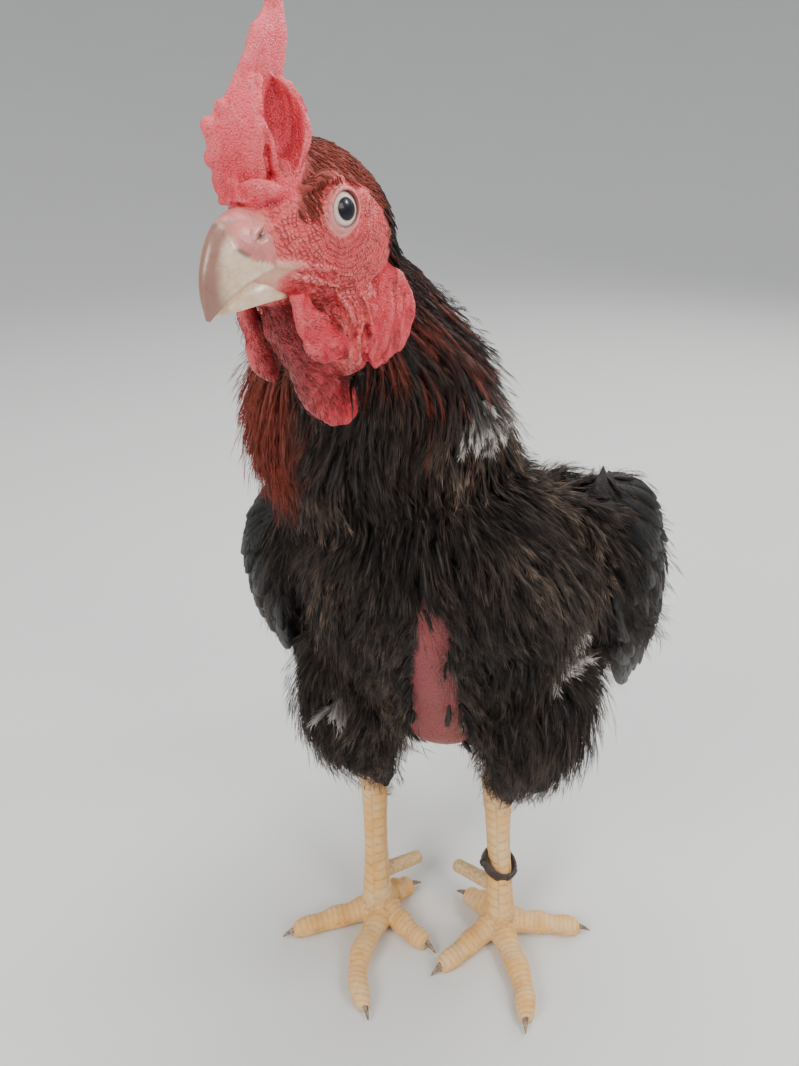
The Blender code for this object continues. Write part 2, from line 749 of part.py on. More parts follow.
def floor_cut():
    """A block under the floor that leaves flat soles at one level."""
    mesh = bpy.data.meshes.new("floor_cut")
    bm = bmesh.new()
    bmesh.ops.create_cube(bm, size=2.0 * FLOOR_BLOCK)
    bmesh.ops.translate(bm, vec=(0.0, 0.0, -FLOOR_BLOCK), verts=bm.verts)
    bm.to_mesh(mesh)
    bm.free()
    return bpy.data.objects.new("floor_cut", mesh)


def claw(base, tip, bow):
    """A short blunt claw, root sunk in the toe, curving down to just over the floor."""
    start = Vector((*base, 0.0))
    end = Vector((*tip, 0.0))
    way = (end - start).normalized()
    side = Vector((way.y, -way.x, 0.0))
    root = end - way * CLAW_LENGTH + side * (bow * 0.42)
    way = (end - root).normalized()
    rings = []
    for i in range(5):
        t = i / 4
        at = root + way * (CLAW_LENGTH * t)
        at.z = CLAW_HIGH[0] + (CLAW_HIGH[1] - CLAW_HIGH[0]) * t * t
        thick = CLAW_THICK * (1.0 - t) ** 0.7 + 0.0004
        rings.append(section(at, side, Vector((0.0, 0.0, 1.0)), thick * 0.8, thick, thick * 0.6, 6))
    return loft("claw", rings)


def spur(side):
    """A blunt short spur at the inner back of the shank."""
    t = (SPUR_HEIGHT - SHANK_FOOT) / (HOCKS[side].z - SHANK_FOOT)
    start = shank_place(side, t)
    end = Vector((*FEET[side]["spur"], SPUR_HEIGHT - 0.001))
    way = (end - start).normalized()
    across = way.cross(Vector((0.0, 0.0, 1.0))).normalized()
    up = across.cross(way)
    rings = []
    for i in range(6):
        u = i / 5
        thick = values(SPUR_THICK, u)
        rings.append(section(start.lerp(end, u), across, up, thick, thick, thick, 10))
    return loft("spur", rings)


def wing_frame(side):
    wrist, tip = WING_WRIST[side], WING_TIP[side]
    sign = 1.0 if side == "left" else -1.0
    down = (tip - wrist).normalized()
    out = Vector((WING_OUT.x * sign, WING_OUT.y, WING_OUT.z))
    out = (out - down * out.dot(down)).normalized()
    chord = out.cross(down).normalized() * sign
    return wrist, tip, down, out, chord


def wing_middle(side, t):
    wrist, tip, down, out, chord = wing_frame(side)
    return wrist.lerp(tip, t) + out * (WING_BOW[side] * math.sin(math.pi * t))


def wing_core(side):
    """The fleshy front half of the folded wing, under its feathers."""
    wrist, tip, down, out, chord = wing_frame(side)
    rings = []
    steps = 9
    for i in range(steps + 1):
        t = WING_CORE_REACH * i / steps
        taper = math.sqrt(1.0 - (i / steps) ** 4)
        half = (values(WING_CHORD, t) - WING_CORE_INSET) * (0.35 + 0.65 * taper)
        deep = max(values(WING_DEPTH, t) - WING_CORE_INSET, 0.003) * (0.30 + 0.70 * taper)
        middle = wing_middle(side, t)
        points = section(middle, chord, out, half, deep, deep * 0.8, 14)
        rings.append([p - out * (WING_CURL * ((p - middle).dot(chord) / 0.045) ** 2) for p in points])
    return loft("wing_core", rings)


def shoulder(side):
    """The shoulder and flank feathers that fill the space between wing and body."""
    wrist = WING_WRIST[side]
    sign = math.copysign(1.0, wrist.x)
    rows = [
        (wrist.x + sign * inward, wrist.y + back, wrist.z + down, wide, deep)
        for inward, back, down, wide, deep in SHOULDER_STATIONS
    ]
    return path_loft("shoulder", rows, 7, 12)


def neck_room():
    """The space that the hackles take, for cutting the shoulders clear."""
    shift, wide_room, deep_room = NECK_ROOM
    rows = [(x + shift, y, z, wide + wide_room, deep + deep_room) for x, y, z, wide, deep in NECK_STATIONS]
    return path_loft("neck_room", rows, 8, 14)


def wing_vanes(side):
    """Flight feathers and their coverts in tiers down the outer face of the wing."""
    wrist, tip, down, out, chord = wing_frame(side)

    def place(t, b):
        half, deep = values(WING_CHORD, t), values(WING_DEPTH, t)
        rise = deep * math.sqrt(max(0.0, 1.0 - b * b)) - WING_CURL * (half * b / 0.045) ** 2
        return wing_middle(side, t) + chord * (half * b) + out * rise

    vanes = []
    for count, root_a, tip_a, root_b, tip_b, start, end, half, lifts in WING_TIERS:
        for j in range(count):
            u = j / (count - 1)
            b = start + (end - start) * u
            low = root_a + (root_b - root_a) * u
            high = (tip_a + (tip_b - tip_a) * u) * random.uniform(0.98, 1.01)
            vanes.append(vane(place, wing_middle(side, low) - out * 0.03, (low, b * 0.94), (high, b), lifts,
                              half, FLIGHT_SHAPE, FLIGHT_ROLL))
    return vanes


def tail_axes():
    way = (TAIL_TIP - TAIL_ROOT).normalized()
    side = Vector((1.0, 0.0, 0.0))
    return way, side, side.cross(way)


def tail_middle(t):
    return TAIL_ROOT.lerp(TAIL_TIP, t) + tail_axes()[2] * (0.012 * math.sin(math.pi * t))


def tail_core():
    """The root of the tail, tented like the feathers over it."""
    way, side, up = tail_axes()
    rings = []
    steps = 6
    for i in range(steps + 1):
        t = TAIL_CORE_REACH * i / steps
        taper = math.sqrt(1.0 - (i / steps) ** 3)
        wide = (values(TAIL_WIDE, t) - 0.002) * (0.5 + 0.5 * taper)
        deep = (values(TAIL_DEEP, t) - 0.002) * (0.25 + 0.75 * taper)
        points = section(tail_middle(t), side, up, wide, deep, deep * 0.5, 12)
        rings.append([p - up * (TAIL_TENT * (p.x / 0.034) ** 2) for p in points])
    return loft("tail_core", rings)


def tail_vanes():
    """Main tail feathers and two tiers of coverts over them."""
    way, side, up = tail_axes()

    def place(t, b):
        wide, deep = values(TAIL_WIDE, t), values(TAIL_DEEP, t)
        rise = deep * math.sqrt(max(0.0, 1.0 - b * b)) - TAIL_TENT * (wide * b / 0.034) ** 2
        return tail_middle(t) + side * (wide * b) + up * rise

    vanes = []
    for count, root, tip_middle, tip_side, span, half, lifts in TAIL_TIERS:
        for j in range(count):
            b = span * (2.0 * j / (count - 1) - 1.0)
            tip = (tip_side + (tip_middle - tip_side) * (1.0 - b * b)) * random.uniform(0.97, 1.0)
            roll = FLIGHT_ROLL if b > 0.0 else -FLIGHT_ROLL
            vanes.append(vane(place, tail_middle(root) - up * 0.03, (root, b * 0.9), (tip, b), lifts,
                              half, FLIGHT_SHAPE, roll))
    return vanes


def band_ring():
    t = (BAND_HEIGHT - SHANK_FOOT) / (HOCKS["left"].z - SHANK_FOOT)
    axis = BAND_AXIS.normalized()
    first = axis.cross(Vector((0.0, 1.0, 0.0))).normalized()
    second = axis.cross(first)
    centre = shank_place("left", t)
    mesh = bpy.data.meshes.new("band")
    bm = bmesh.new()
    rows = []
    around = 16
    for k in range(around):
        turn = 2.0 * math.pi * k / around
        out = first * math.cos(turn) + second * math.sin(turn)
        rows.append([bm.verts.new(centre + out * r + axis * h) for r, h in BAND_PROFILE])
    for k in range(around):
        low, high = rows[k], rows[(k + 1) % around]
        for j in range(len(BAND_PROFILE)):
            n = (j + 1) % len(BAND_PROFILE)
            bm.faces.new((low[j], low[n], high[n]))
            bm.faces.new((low[j], high[n], high[j]))
    face_out(bm)
    bm.to_mesh(mesh)
    bm.free()
    return bpy.data.objects.new("band", mesh)


def build_head():
    core = head_core()
    pieces = [core, throat()]
    cutters = []
    for side in (1.0, -1.0):
        pieces += [lids(side), brow(side), mouth_fold(side), ear_cup(side)]
        cutters += [swollen(eyeball(side)), ear_hole(side)]
    upper = bill("upper", BILL_UPPER, 9, 0.0)
    lower = bill("lower", BILL_LOWER, 8, -GAP / MM)
    cutters += [swollen(upper), swollen(lower)]
    finish("head", pieces, cutters, MATERIALS["face"])
    f, l, u = NOSTRIL_AT
    nostrils = [ball("nostril", head(f, s * l, u), Vector(NOSTRIL_HALF) * MM, (8, 6)) for s in (1.0, -1.0)]
    finish("beak_lower", [lower], [swollen(upper)], MATERIALS["horn"])
    finish("beak_upper", [upper], nostrils, MATERIALS["horn"])
    for side, name in ((1.0, "left"), (-1.0, "right")):
        finish("eye_" + name, [eyeball(side)], [], MATERIALS["eye"])


def flesh_of_head():
    """Cutters for all that hangs on the head or holds it."""
    return [swollen(head_core()), swollen(throat())]


def earlobe(side):
    rows = [(f, side * l, u, half, thick) for f, l, u, half, thick in EARLOBE]
    return lobe("earlobe_core", rows, turn=-side * 0.12)


def build_flesh():
    """Comb, wattles, dewlap and earlobes, each cut clear of the head and of each other."""
    folds = [lobe("blade", COMB_BLADE, 11, 12)]
    folds += [lobe("fold_left", COMB_LEFT), lobe("fold_right", COMB_RIGHT)]
    finish("comb", folds, [swollen(head_core())], MATERIALS["comb"])
    for side, name, rows in ((1.0, "left", WATTLE_LEFT), (-1.0, "right", WATTLE_RIGHT)):
        clear = flesh_of_head() + [swollen(bill("lower", BILL_LOWER, 8, -GAP / MM))]
        clear += [swollen(lobe("dewlap_core", DEWLAP)), swollen(mouth_fold(side))]
        finish("wattle_" + name, [lobe("wattle_core", rows)], clear, MATERIALS["wattle"])
    finish("dewlap", [lobe("dewlap_core", DEWLAP)], flesh_of_head(), MATERIALS["wattle"])
    for side, name in ((1.0, "left"), (-1.0, "right")):
        clear = flesh_of_head() + [swollen(ear_cup(side)), swollen(lobe("dewlap_core", DEWLAP))]
        finish("earlobe_" + name, [earlobe(side)], clear, MATERIALS["wattle"])


def hackles():
    """Rows of long neck feathers that point down to the shoulders and lie over each other."""

    def place(s, turn):
        middle, side, up, wide, deep = path_frame(NECK_STATIONS, s)
        return middle + side * (wide * math.cos(turn)) + up * (deep * math.sin(turn))

    vanes = []
    for row, (count, root, tip, half) in enumerate(HACKLE_ROWS):
        for j in range(count):
            turn = 2.0 * math.pi * (j + 0.5 * (row % 2)) / count + random.uniform(-0.08, 0.08)
            right = max(0.0, -math.cos(turn)) ** 2
            reach = tip + random.uniform(-0.02, 0.03) + HACKLE_SHORT * right
            fall = HACKLE_FALL * right
            lifts = (HACKLE_LIFTS[0], HACKLE_LIFTS[1] + 0.4 * fall, HACKLE_LIFTS[2] + fall)
            inside = Vector(along(NECK_STATIONS, root)[:3])
            sway = turn + random.uniform(-0.10, 0.10)
            vanes.append(vane(place, inside, (root, turn), (reach, sway), lifts,
                              half, HACKLE_SHAPE, HACKLE_ROLL))
    return vanes


def build_neck():
    clear = [swollen(torso_core()), *flesh_of_head(), swollen(lobe("dewlap_core", DEWLAP))]
    for side in (1.0, -1.0):
        clear += [swollen(earlobe(side)), swollen(ear_cup(side))]
    inset = NECK_CORE_INSET
    rows = [(x, y, z, wide - inset, deep - inset) for x, y, z, wide, deep in NECK_STATIONS]
    finish("neck", [path_loft("neck_core", rows, 8, 14), *hackles()], clear, MATERIALS["hackle"])


def thigh_core(side):
    sign = 1.0 if side == "left" else -1.0
    lean = THIGH_LEAN / (len(THIGH_STATIONS) - 1)
    rows = [(sign * x + lean * i, y, z, w, d) for i, (x, y, z, w, d) in enumerate(THIGH_STATIONS)]
    return path_loft("thigh_core", rows, 7, 14)


def build_body():
    finish("torso", [torso_core()], [], MATERIALS["breast"])
    for side in ("left", "right"):
        clear = [swollen(torso_core()), swollen(shank_core(side, SCUTE_RAISE))]
        finish("thigh_" + side, [thigh_core(side)], clear, MATERIALS["breast"])
        clear = [swollen(torso_core()), swollen(thigh_core(side)), neck_room()]
        finish("wing_" + side, [wing_core(side), shoulder(side), *wing_vanes(side)], clear, MATERIALS["flight"])
    finish("tail", [tail_core(), *tail_vanes()], [swollen(torso_core())], MATERIALS["flight"])


def build_legs():
    for side in ("left", "right"):
        finish("shank_" + side, [shank_scuted(side)], [], MATERIALS["leg"])
        claws = {name: claw(*FEET[side][name]) for name in ("mid", "outer", "inner", "hallux")}
        finish("foot_" + side, foot_pieces(side), [floor_cut(), *(swollen(c) for c in claws.values())],
               MATERIALS["leg"])
        for name, piece in claws.items():
            finish("claw_" + side + "_" + name, [piece], [], MATERIALS["claw"])
        finish("spur_" + side, [spur(side)], [swollen(shank_core(side, SCUTE_RAISE))], MATERIALS["claw"])
    finish("leg_band", [band_ring()], [swollen(shank_core("left", SCUTE_RAISE))], MATERIALS["band"])


def drop_spares():
    """Remove the cores that only served to make cutters."""
    for thing in list(bpy.data.objects):
        if not thing.users_collection:
            bpy.data.objects.remove(thing, do_unlink=True)


def centre_on_floor():
    """Shift the whole bird so that its box is centred over the origin."""
    spots = [v.co for thing in MODEL.objects for v in thing.data.vertices]
    shift = Vector((
        -(min(p.x for p in spots) + max(p.x for p in spots)) / 2.0,
        -(min(p.y for p in spots) + max(p.y for p in spots)) / 2.0,
        0.0,
    ))
    for thing in MODEL.objects:
        thing.data.transform(Matrix.Translation(shift))


clear_scene()
random.seed(SEED)
MODEL = collection("aseel_cock")
CUTTERS = collection("cutters")
MATERIALS = {
    "face": material("face", (0.48, 0.10, 0.09), 0.5),
    "comb": material("comb", (0.60, 0.13, 0.13), 0.4),
    "wattle": material("wattle", (0.62, 0.07, 0.09), 0.35),
    "horn": material("horn", (0.68, 0.52, 0.40), 0.35),
    "eye": material("eye", (0.72, 0.60, 0.54), 0.08),
    "hackle": material("hackle", (0.13, 0.05, 0.03), 0.6),
    "breast": material("breast", (0.03, 0.022, 0.02), 0.65),
    "flight": material("flight", (0.014, 0.014, 0.015), 0.45),
    "leg": material("leg", (0.72, 0.48, 0.24), 0.5),
    "claw": material("claw", (0.30, 0.22, 0.16), 0.4),
    "band": material("band", (0.025, 0.02, 0.02), 0.55),
}
build_head()
build_flesh()
build_neck()
build_body()
build_legs()
drop_spares()
centre_on_floor()
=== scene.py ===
"""The looks of a standing aseel cock at life size: skin, plumage, eyes, bill, legs and leg band.

Places are worked out in the frame of the CAD source, where the head is measured in
millimetres ahead (f), to its left (l) and up (u) from between the eyes. put() moves a
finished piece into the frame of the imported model, which the left eye's box gives.
"""

import functools
import itertools
import math

import bpy
import numpy as np
from bpy.props import FloatProperty, FloatVectorProperty, IntProperty, PointerProperty
from mathutils import Matrix, Vector
from mathutils.bvhtree import BVHTree


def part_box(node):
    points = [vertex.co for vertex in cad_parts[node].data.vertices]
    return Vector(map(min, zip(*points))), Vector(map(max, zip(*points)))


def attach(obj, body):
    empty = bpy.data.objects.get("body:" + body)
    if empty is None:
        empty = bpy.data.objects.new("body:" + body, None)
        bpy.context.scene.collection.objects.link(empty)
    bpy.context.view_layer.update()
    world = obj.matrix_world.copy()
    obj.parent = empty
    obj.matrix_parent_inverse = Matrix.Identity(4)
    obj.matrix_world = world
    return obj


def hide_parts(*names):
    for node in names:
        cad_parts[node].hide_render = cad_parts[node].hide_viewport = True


bl_info = {
    "name": "Aseel Cock",
    "version": (1, 0, 0),
    "blender": (4, 5, 0),
    "location": "View3D > Sidebar > Aseel Cock",
    "description": "Builds the skin, plumage, eyes, bill and legs of a standing aseel cock",
    "category": "Add Mesh",
}

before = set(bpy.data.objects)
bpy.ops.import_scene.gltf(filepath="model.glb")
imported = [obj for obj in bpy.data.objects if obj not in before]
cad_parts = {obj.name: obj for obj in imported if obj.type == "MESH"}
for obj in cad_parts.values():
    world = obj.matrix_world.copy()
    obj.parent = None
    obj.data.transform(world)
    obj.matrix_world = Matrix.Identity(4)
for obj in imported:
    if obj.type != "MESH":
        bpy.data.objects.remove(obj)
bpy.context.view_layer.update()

MM = 0.001
BODY = "root"
# Side of a feather's patch on the bake map
PATCH = 0.003

# Head: place between the eyes, turn to its own right and dip of the bill
HEAD_AT = np.array((-0.04, -0.135, 0.488))
HEAD_TURN = math.radians(18)
HEAD_DIP = math.radians(2)
AHEAD = np.array((
    -math.sin(HEAD_TURN) * math.cos(HEAD_DIP),
    -math.cos(HEAD_TURN) * math.cos(HEAD_DIP),
    -math.sin(HEAD_DIP),
))
LEFT = np.array((math.cos(HEAD_TURN), -math.sin(HEAD_TURN), 0))
UP = np.cross(AHEAD, LEFT)
EYE_RADIUS = 8.6
EYE_AT = (-2, 12.9, 0)
EYEBALL_AT = (-3.3, 13, 0.5)
EYE_AIM = math.radians(17)
EYE_TILT = math.radians(9)
PUPIL = 3.45
IRIS = 5.9
# Half axes of the eye's opening, how far they lean, and the lid's shell and rim
OPENING = (6.1, 5.2)
OPENING_LEAN = (0.65, -0.76)
LID_SHELL = 0.95
LID_RIM = 0.75

# Stations ahead f: centre height, half width, rise, drop in millimetres
HEAD_STATIONS = (
    (-44, -20, 6, 6, 6),
    (-38, -17, 17, 24, 20),
    (-26, -13, 22, 29.5, 27),
    (-12, -11, 21.5, 33, 28),
    (2, -10, 19, 31, 25),
    (14, -10, 16, 26, 20),
    (24, -9.5, 11, 17.3, 15),
    (31, -9, 6.2, 10, 9.5),
    (34, -9, 2.5, 3.5, 3.5),
)
THROAT_AT = (-8, 0, -36)
THROAT_HALF = (16.5, 19, 24)
JOWL_AT = (-13, 12, -36)
JOWL_HALF = (15, 9.5, 22)
# Rows of f, l, u and half thickness
BROW = ((12, 13, 8.5, 1), (1.5, 16, 11.5, 2.4), (-12, 14.5, 8.5, 1.2))
LIPS = (
    ((26, 10.2, -11.8, 1.2), (19, 13.3, -13, 1.5), (11, 16.2, -14.8, 1.4), (3, 18.6, -17, 0.5)),
    ((21, 12.2, -16.4, 1), (14, 15, -18.4, 1.2), (7, 17.2, -21, 1), (1, 18.4, -23, 0.4)),
)
EAR_AT = (-25, 20.8, -12)
EAR_RING, EAR_THICK = 4.2, 1.3

# Rows of f, l, u, half length and half thickness
COMB_BLADE = (
    (15, 0, 6, 15, 8),
    (14.5, -1.4, 13, 12.5, 4.4),
    (12.5, -2.2, 24, 11.5, 3),
    (10.5, -1.8, 34, 11, 2.8),
    (9, -0.3, 44, 10.5, 3.4),
    (6, 0, 52.5, 7.5, 2.8),
    (2.8, 0, 57.5, 4.2, 2.2),
    (2.6, 0, 64, 3.2, 1.8),
    (2.2, 0, 71, 1, 0.8),
)
# The comb's broad front wall and the hollow cup behind it, both lying across the head
COMB_ACROSS = math.radians(-62)
COMB_WALL = (
    (22, -2, 5, 8.2, 4),
    (22.6, -2, 12, 7.8, 3.4),
    (24, -1.8, 19, 8.2, 2.8),
    (24.4, -1.8, 25, 8.9, 2.5),
    (23.5, -1.6, 30, 7.8, 2.5),
    (21.5, -1, 35, 5.4, 2.6),
    (18.5, -0.5, 41, 3, 2),
)
COMB_CUP = (
    (12.5, 5, 6, 4.5, 3.6),
    (11, 4.6, 13, 5.2, 2.6),
    (8, 4.2, 19, 6.4, 1.8),
    (5.5, 3.4, 26, 7.6, 1.7),
    (6, 2.6, 32, 7, 1.7),
    (7.5, 1.4, 37, 5, 1.7),
    (9, 0.5, 40.5, 2, 1.3),
)
# Ridges by rows of f, l, u and half thickness: the cup's rim and the roll under the comb
CUP_RIM = ((7.5, 3.5, 39, 1.4), (3.4, 7.6, 34, 1.9), (1.8, 9.2, 27, 2.1), (4.2, 8.8, 20, 2),
           (8.6, 7.8, 14, 2), (12.5, 8, 8.5, 2))
COMB_ROLL = ((26, -9.4, 12, 2.2), (27.4, -5.5, 8.8, 3.4), (26.4, 1.5, 8.4, 4), (22, 6.6, 9, 3.4),
             (15.5, 8, 8.2, 2.4), (11.5, 7.6, 8.8, 1.4))
# The fold between the comb's wall and its cup, and the knobs on the wall by f, l, u and radius
COMB_FOLD = ((15.6, 5.6, 13, 1.6), (17.4, 6, 17.4, 2.2), (18.6, 6, 23, 2.4), (19.6, 5.2, 28.6, 2.2),
             (19, 4.2, 33, 1.9), (15, 2.4, 40, 1.2))
COMB_KNOBS = ((28, -8.2, 27.2, 2.6), (25.4, -5.2, 32.4, 2.5), (27, -8.4, 18.6, 2.6))
WATTLE_LEFT = (
    (18.5, 12.8, -22, 4, 1.8),
    (15.5, 13.6, -28.5, 6.4, 2.2),
    (12, 14.8, -35, 10, 2.5),
    (8, 16, -42, 10.6, 2.4),
    (4, 15.8, -48, 6.5, 1.8),
)
WATTLE_RIGHT = (
    (18, -9, -24, 3.6, 2.4),
    (15, -10, -32, 5, 3.6),
    (12, -10.5, -40, 5.4, 3.3),
    (8, -11, -50, 7.2, 3.8),
    (4, -10.5, -58, 3, 1.8),
)
DEWLAP = (
    (4, 1, -29, 14, 9.5),
    (2, 1.2, -40, 15.5, 8.6),
    (-3.5, 2, -50, 15.5, 7.2),
    (-8, 2, -59, 15.5, 5.6),
    (-12.5, 2.5, -67, 16, 4.2),
    (-17.5, 3, -74, 14.5, 3.6),
    (-22, 3, -79.5, 9.5, 2.6),
    (-23, 3, -82.5, 2, 0.8),
)
EARLOBE = (
    (-26, 17, -18, 5, 2.4),
    (-26, 19.5, -26, 10.6, 3.2),
    (-24.5, 21.4, -35, 14.4, 3.6),
    (-22.5, 22, -44, 13.4, 3.4),
    (-21, 21.4, -51.5, 8.6, 2.8),
    (-20.5, 20.4, -56, 3, 1.4),
)
JOWL_FOLDS = (
    ((1, 16.2, -25, 1.2), (-3.5, 18.6, -34, 2.2), (-6, 18.6, -43, 2.4), (-9, 17.4, -52, 1.4)),
    ((-7, 20, -25, 1.2), (-10.5, 21.2, -34, 2.3), (-12, 20.6, -43, 2.5), (-14, 18.8, -52, 1.5)),
)
# Upper bill: f and u of the crown line, f and u of the cutting edge, half width
BILL_UPPER = (
    (21, 5.2, 18, -12, 11.2),
    (27, 5, 23.5, -12.7, 10.6),
    (32, 4.6, 28, -13.4, 9.6),
    (38.5, 2.2, 33, -14.8, 8.4),
    (44, -2.8, 38.5, -16.8, 6.8),
    (47.8, -9.6, 43, -19.4, 4.9),
    (49.6, -17, 46.2, -22.6, 2.8),
    (49.4, -25, 48.2, -25.6, 0.5),
)
# Lower bill: f and u of the cutting edge, f and u of the chin line, half width
BILL_LOWER = (
    (20, -13.6, 19, -24, 9),
    (27, -14.4, 25.5, -23.8, 8.2),
    (33, -15.8, 32, -23.8, 7),
    (38, -18, 37.8, -24.2, 5.4),
    (42, -20.6, 42.2, -24.6, 3.6),
    (44.6, -23.6, 44.8, -24.6, 1),
)
NOSTRIL_AT = (28, 9, -2.4)
# Where horn gives way to flesh on the upper bill: f at each u
CERE_EDGE = ((-13.5, -10.9, -9.4, -6.3, -3, 1, 5), (19, 29, 34.5, 38, 39.5, 39, 37))

# Body paths in rows of millimetres. The torso: y, z, half width, rise of the back, drop of the keel
TORSO_STATIONS = np.array((
    (-80, 352, 12, 12, 12),
    (-67, 339, 46, 44, 38),
    (-45, 318, 67, 62, 56),
    (-12, 286, 78, 71, 72),
    (22, 254, 77, 70, 77),
    (53, 227, 66, 62, 81),
    (83, 205, 47, 46, 58),
    (105, 190, 27, 28, 26),
    (114, 184, 8, 8, 8),
)) * MM
BACK_UP = np.array((0, 0.707, 0.707))
# Neck: x, y, z, half width, half depth, from the shoulders to the nape
NECK_STATIONS = np.array((
    (-10, -7, 325, 58, 50),
    (-25.5, -29, 355, 67.5, 53),
    (-31, -45, 385, 66, 52),
    (-30, -63, 412, 59, 46),
    (-29, -81, 440, 45, 39),
    (-32, -97, 462, 28, 31),
    (-32, -104, 476, 18, 21),
)) * MM
# The bare keel: x, y, z, half width, half depth
KEEL_STATIONS = np.array((
    (2, -90, 325, 4, 5),
    (2.5, -84.5, 300, 7.5, 8.5),
    (2, -65, 260, 11.5, 11.5),
    (3, -48, 232, 17, 14),
    (3, -29, 204, 25, 18),
    (3, -2, 188, 25, 13),
)) * MM
# Thigh for the left side: x, y, z, half width, half depth
THIGH_STATIONS = np.array((
    (46, -4, 250, 20, 30),
    (50, -4, 222, 36, 46),
    (54, 0, 190, 37, 45),
    (51.5, 11, 158, 30, 36),
    (47, 26, 128, 19.5, 23),
    (44.5, 36, 105, 16.5, 18),
    (43.5, 39, 84, 16, 17),
)) * MM
THIGH_LEAN = -0.005

# Legs and feet
SIDES = ("left", "right")
SIGN = {"left": 1, "right": -1}
HOCKS = {"right": (-0.053, 0.04, 0.098), "left": (0.0345, 0.042, 0.098)}
SHANK_FOOT = 0.02
SHANK_RADII = np.array(((10, 10.8), (8.6, 9.4), (8.2, 9), (9.2, 10), (10.8, 11.6))) * MM
TOE_HALF = (0.0084, 0.0058)
TOE_TOP = (0.014, 0.0102)
CLAW_LENGTH = 0.0125
CLAW_HIGH = (0.0062, 0.002)
CLAW_THICK = 0.0029
PAD_AT = (-0.004, 0.0065)
PAD_HALF = (0.0132, 0.0132, 0.0093)
HEEL = np.array((
    (-2, 5, 12.5, 11.5, 12.5),
    (-1, 13, 11.2, 11, 11.5),
    (0, 22, 10, 10.8, 10.8),
)) * MM
# Lift of each toe's root
TOES = {"mid": 0, "outer": 0, "inner": 0, "hallux": 0.004}
FEET = {
    "right": {
        "ankle": (-0.043, -0.0015),
        "mid": ((-0.0385, -0.013), (-0.032, -0.0869), 0.011),
        "outer": ((-0.052, -0.008), (-0.1032, -0.0365), 0),
        "inner": ((-0.0335, -0.005), (0.003, -0.031), 0.002),
        "hallux": ((-0.037, 0.007), (-0.0158, 0.0267), 0),
        "spur": (-0.0172, 0.0284),
    },
    "left": {
        "ankle": (0.0435, 0.0006),
        "mid": ((0.0475, -0.013), (0.066, -0.0778), -0.005),
        "outer": ((0.054, 0.001), (0.1067, 0.0056), 0),
        "inner": ((0.036, -0.008), (0.0024, -0.0483), -0.001),
        "hallux": ((0.0365, 0.008), (0.011, 0.0235), 0),
        "spur": (0.0093, 0.025),
    },
}
SPUR_HEIGHT = 0.031
SPUR_THICK = (0.0056, 0.0054, 0.0052, 0.005, 0.0049, 0.0048)
BAND_HEIGHT = 0.046
BAND_AXIS = (0.5, -0.12, 1)
BAND_PROFILE = ((0.0105, -0.0034), (0.0124, -0.0036), (0.0128, 0), (0.0124, 0.0036), (0.0105, 0.0034))
BAND_STEPS = 120
RIVET_TURN = math.radians(28)
RIVET_OUT, RIVET_RADIUS = 0.0124, 0.003

# Wings: wrist, tip, half chords and half depths along the folded wing
WING_WRIST = {"left": (0.077, -0.01, 0.351), "right": (-0.083, -0.018, 0.332)}
WING_TIP = {"left": (0.118, 0.092, 0.16), "right": (-0.114, 0.082, 0.168)}
WING_BOW = 0.013
WING_OUT = (0.93, -0.32, 0.1)
WING_CHORD = (0.014, 0.034, 0.043, 0.045, 0.041, 0.033, 0.021, 0.006)
WING_DEPTH = (0.006, 0.014, 0.015, 0.013, 0.01, 0.007, 0.004, 0.0012)
WING_CURL = 0.016
WING_FLESH_REACH = 0.64
# Shoulder between wing and body, from the wrist: shift inwards, back and down, half width, half depth
SHOULDER_STATIONS = np.array((
    (-30, -14, -14, 12, 12),
    (-20, 4, -26, 30, 27),
    (-14, 28, -54, 32, 29),
    (-6, 50, -92, 29, 27),
    (-1, 56, -128, 28, 26),
    (-4, 64, -165, 12, 12),
)) * MM

# Tail: root, tip and half sizes along it
TAIL_ROOT = np.array((0, 0.085, 0.218))
TAIL_TIP = np.array((0, 0.232, 0.112))
TAIL_WIDE = (0.018, 0.028, 0.032, 0.034, 0.032, 0.024, 0.008)
TAIL_DEEP = (0.014, 0.022, 0.02, 0.017, 0.013, 0.008, 0.0015)
TAIL_TENT = 0.016
TAIL_BOW = 0.012
TAIL_FLESH_REACH = 0.42

# How far the skin lies inside the solids, by zone of the plumage
INSET = {"torso": 0.0065, "neck": 0.01, "thigh": 0.0055, "shoulder": 0.0065, "wing": 0.0055, "tail": 0.005}

# Camera of the photograph in the frame of the CAD source
CAMERA_AT = np.array((0.0484, -0.4301, 0.52))
CAMERA_PAN = math.radians(10)
CAMERA_TILT = math.radians(26.35)
FOCAL_PIXELS = 865
LONG_SIDE = 1066
SENSOR = 36


def tint(red, green, blue):
    """A linear colour from the 0 to 255 numbers of a screen colour."""
    shares = (n / 255 for n in (red, green, blue))
    return tuple(n / 12.92 if n <= 0.04045 else ((n + 0.055) / 1.055) ** 2.4 for n in shares)


# Curves, sections and lofts, all on arrays


def unit(vectors):
    return vectors / np.maximum(np.linalg.norm(vectors, axis=-1, keepdims=True), 1e-12)


def along(rows, t):
    """Rows at each t, from 0 to 1, on a smooth curve through evenly spaced rows."""
    rows = np.asarray(rows, float)
    if rows.ndim == 1:
        return along(rows[:, None], t)[..., 0]
    last = len(rows) - 1
    place = np.clip(np.asarray(t, float), 0, 1) * last
    i = np.minimum(place.astype(int), last - 1)
    f = (place - i)[..., None]
    a, b, c, d = (rows[np.clip(i + k, 0, last)] for k in (-1, 0, 1, 2))
    return 0.5 * (2 * b + (c - a) * f + (2 * a - 5 * b + 4 * c - d) * f**2 + (3 * b - a - 3 * c + d) * f**3)


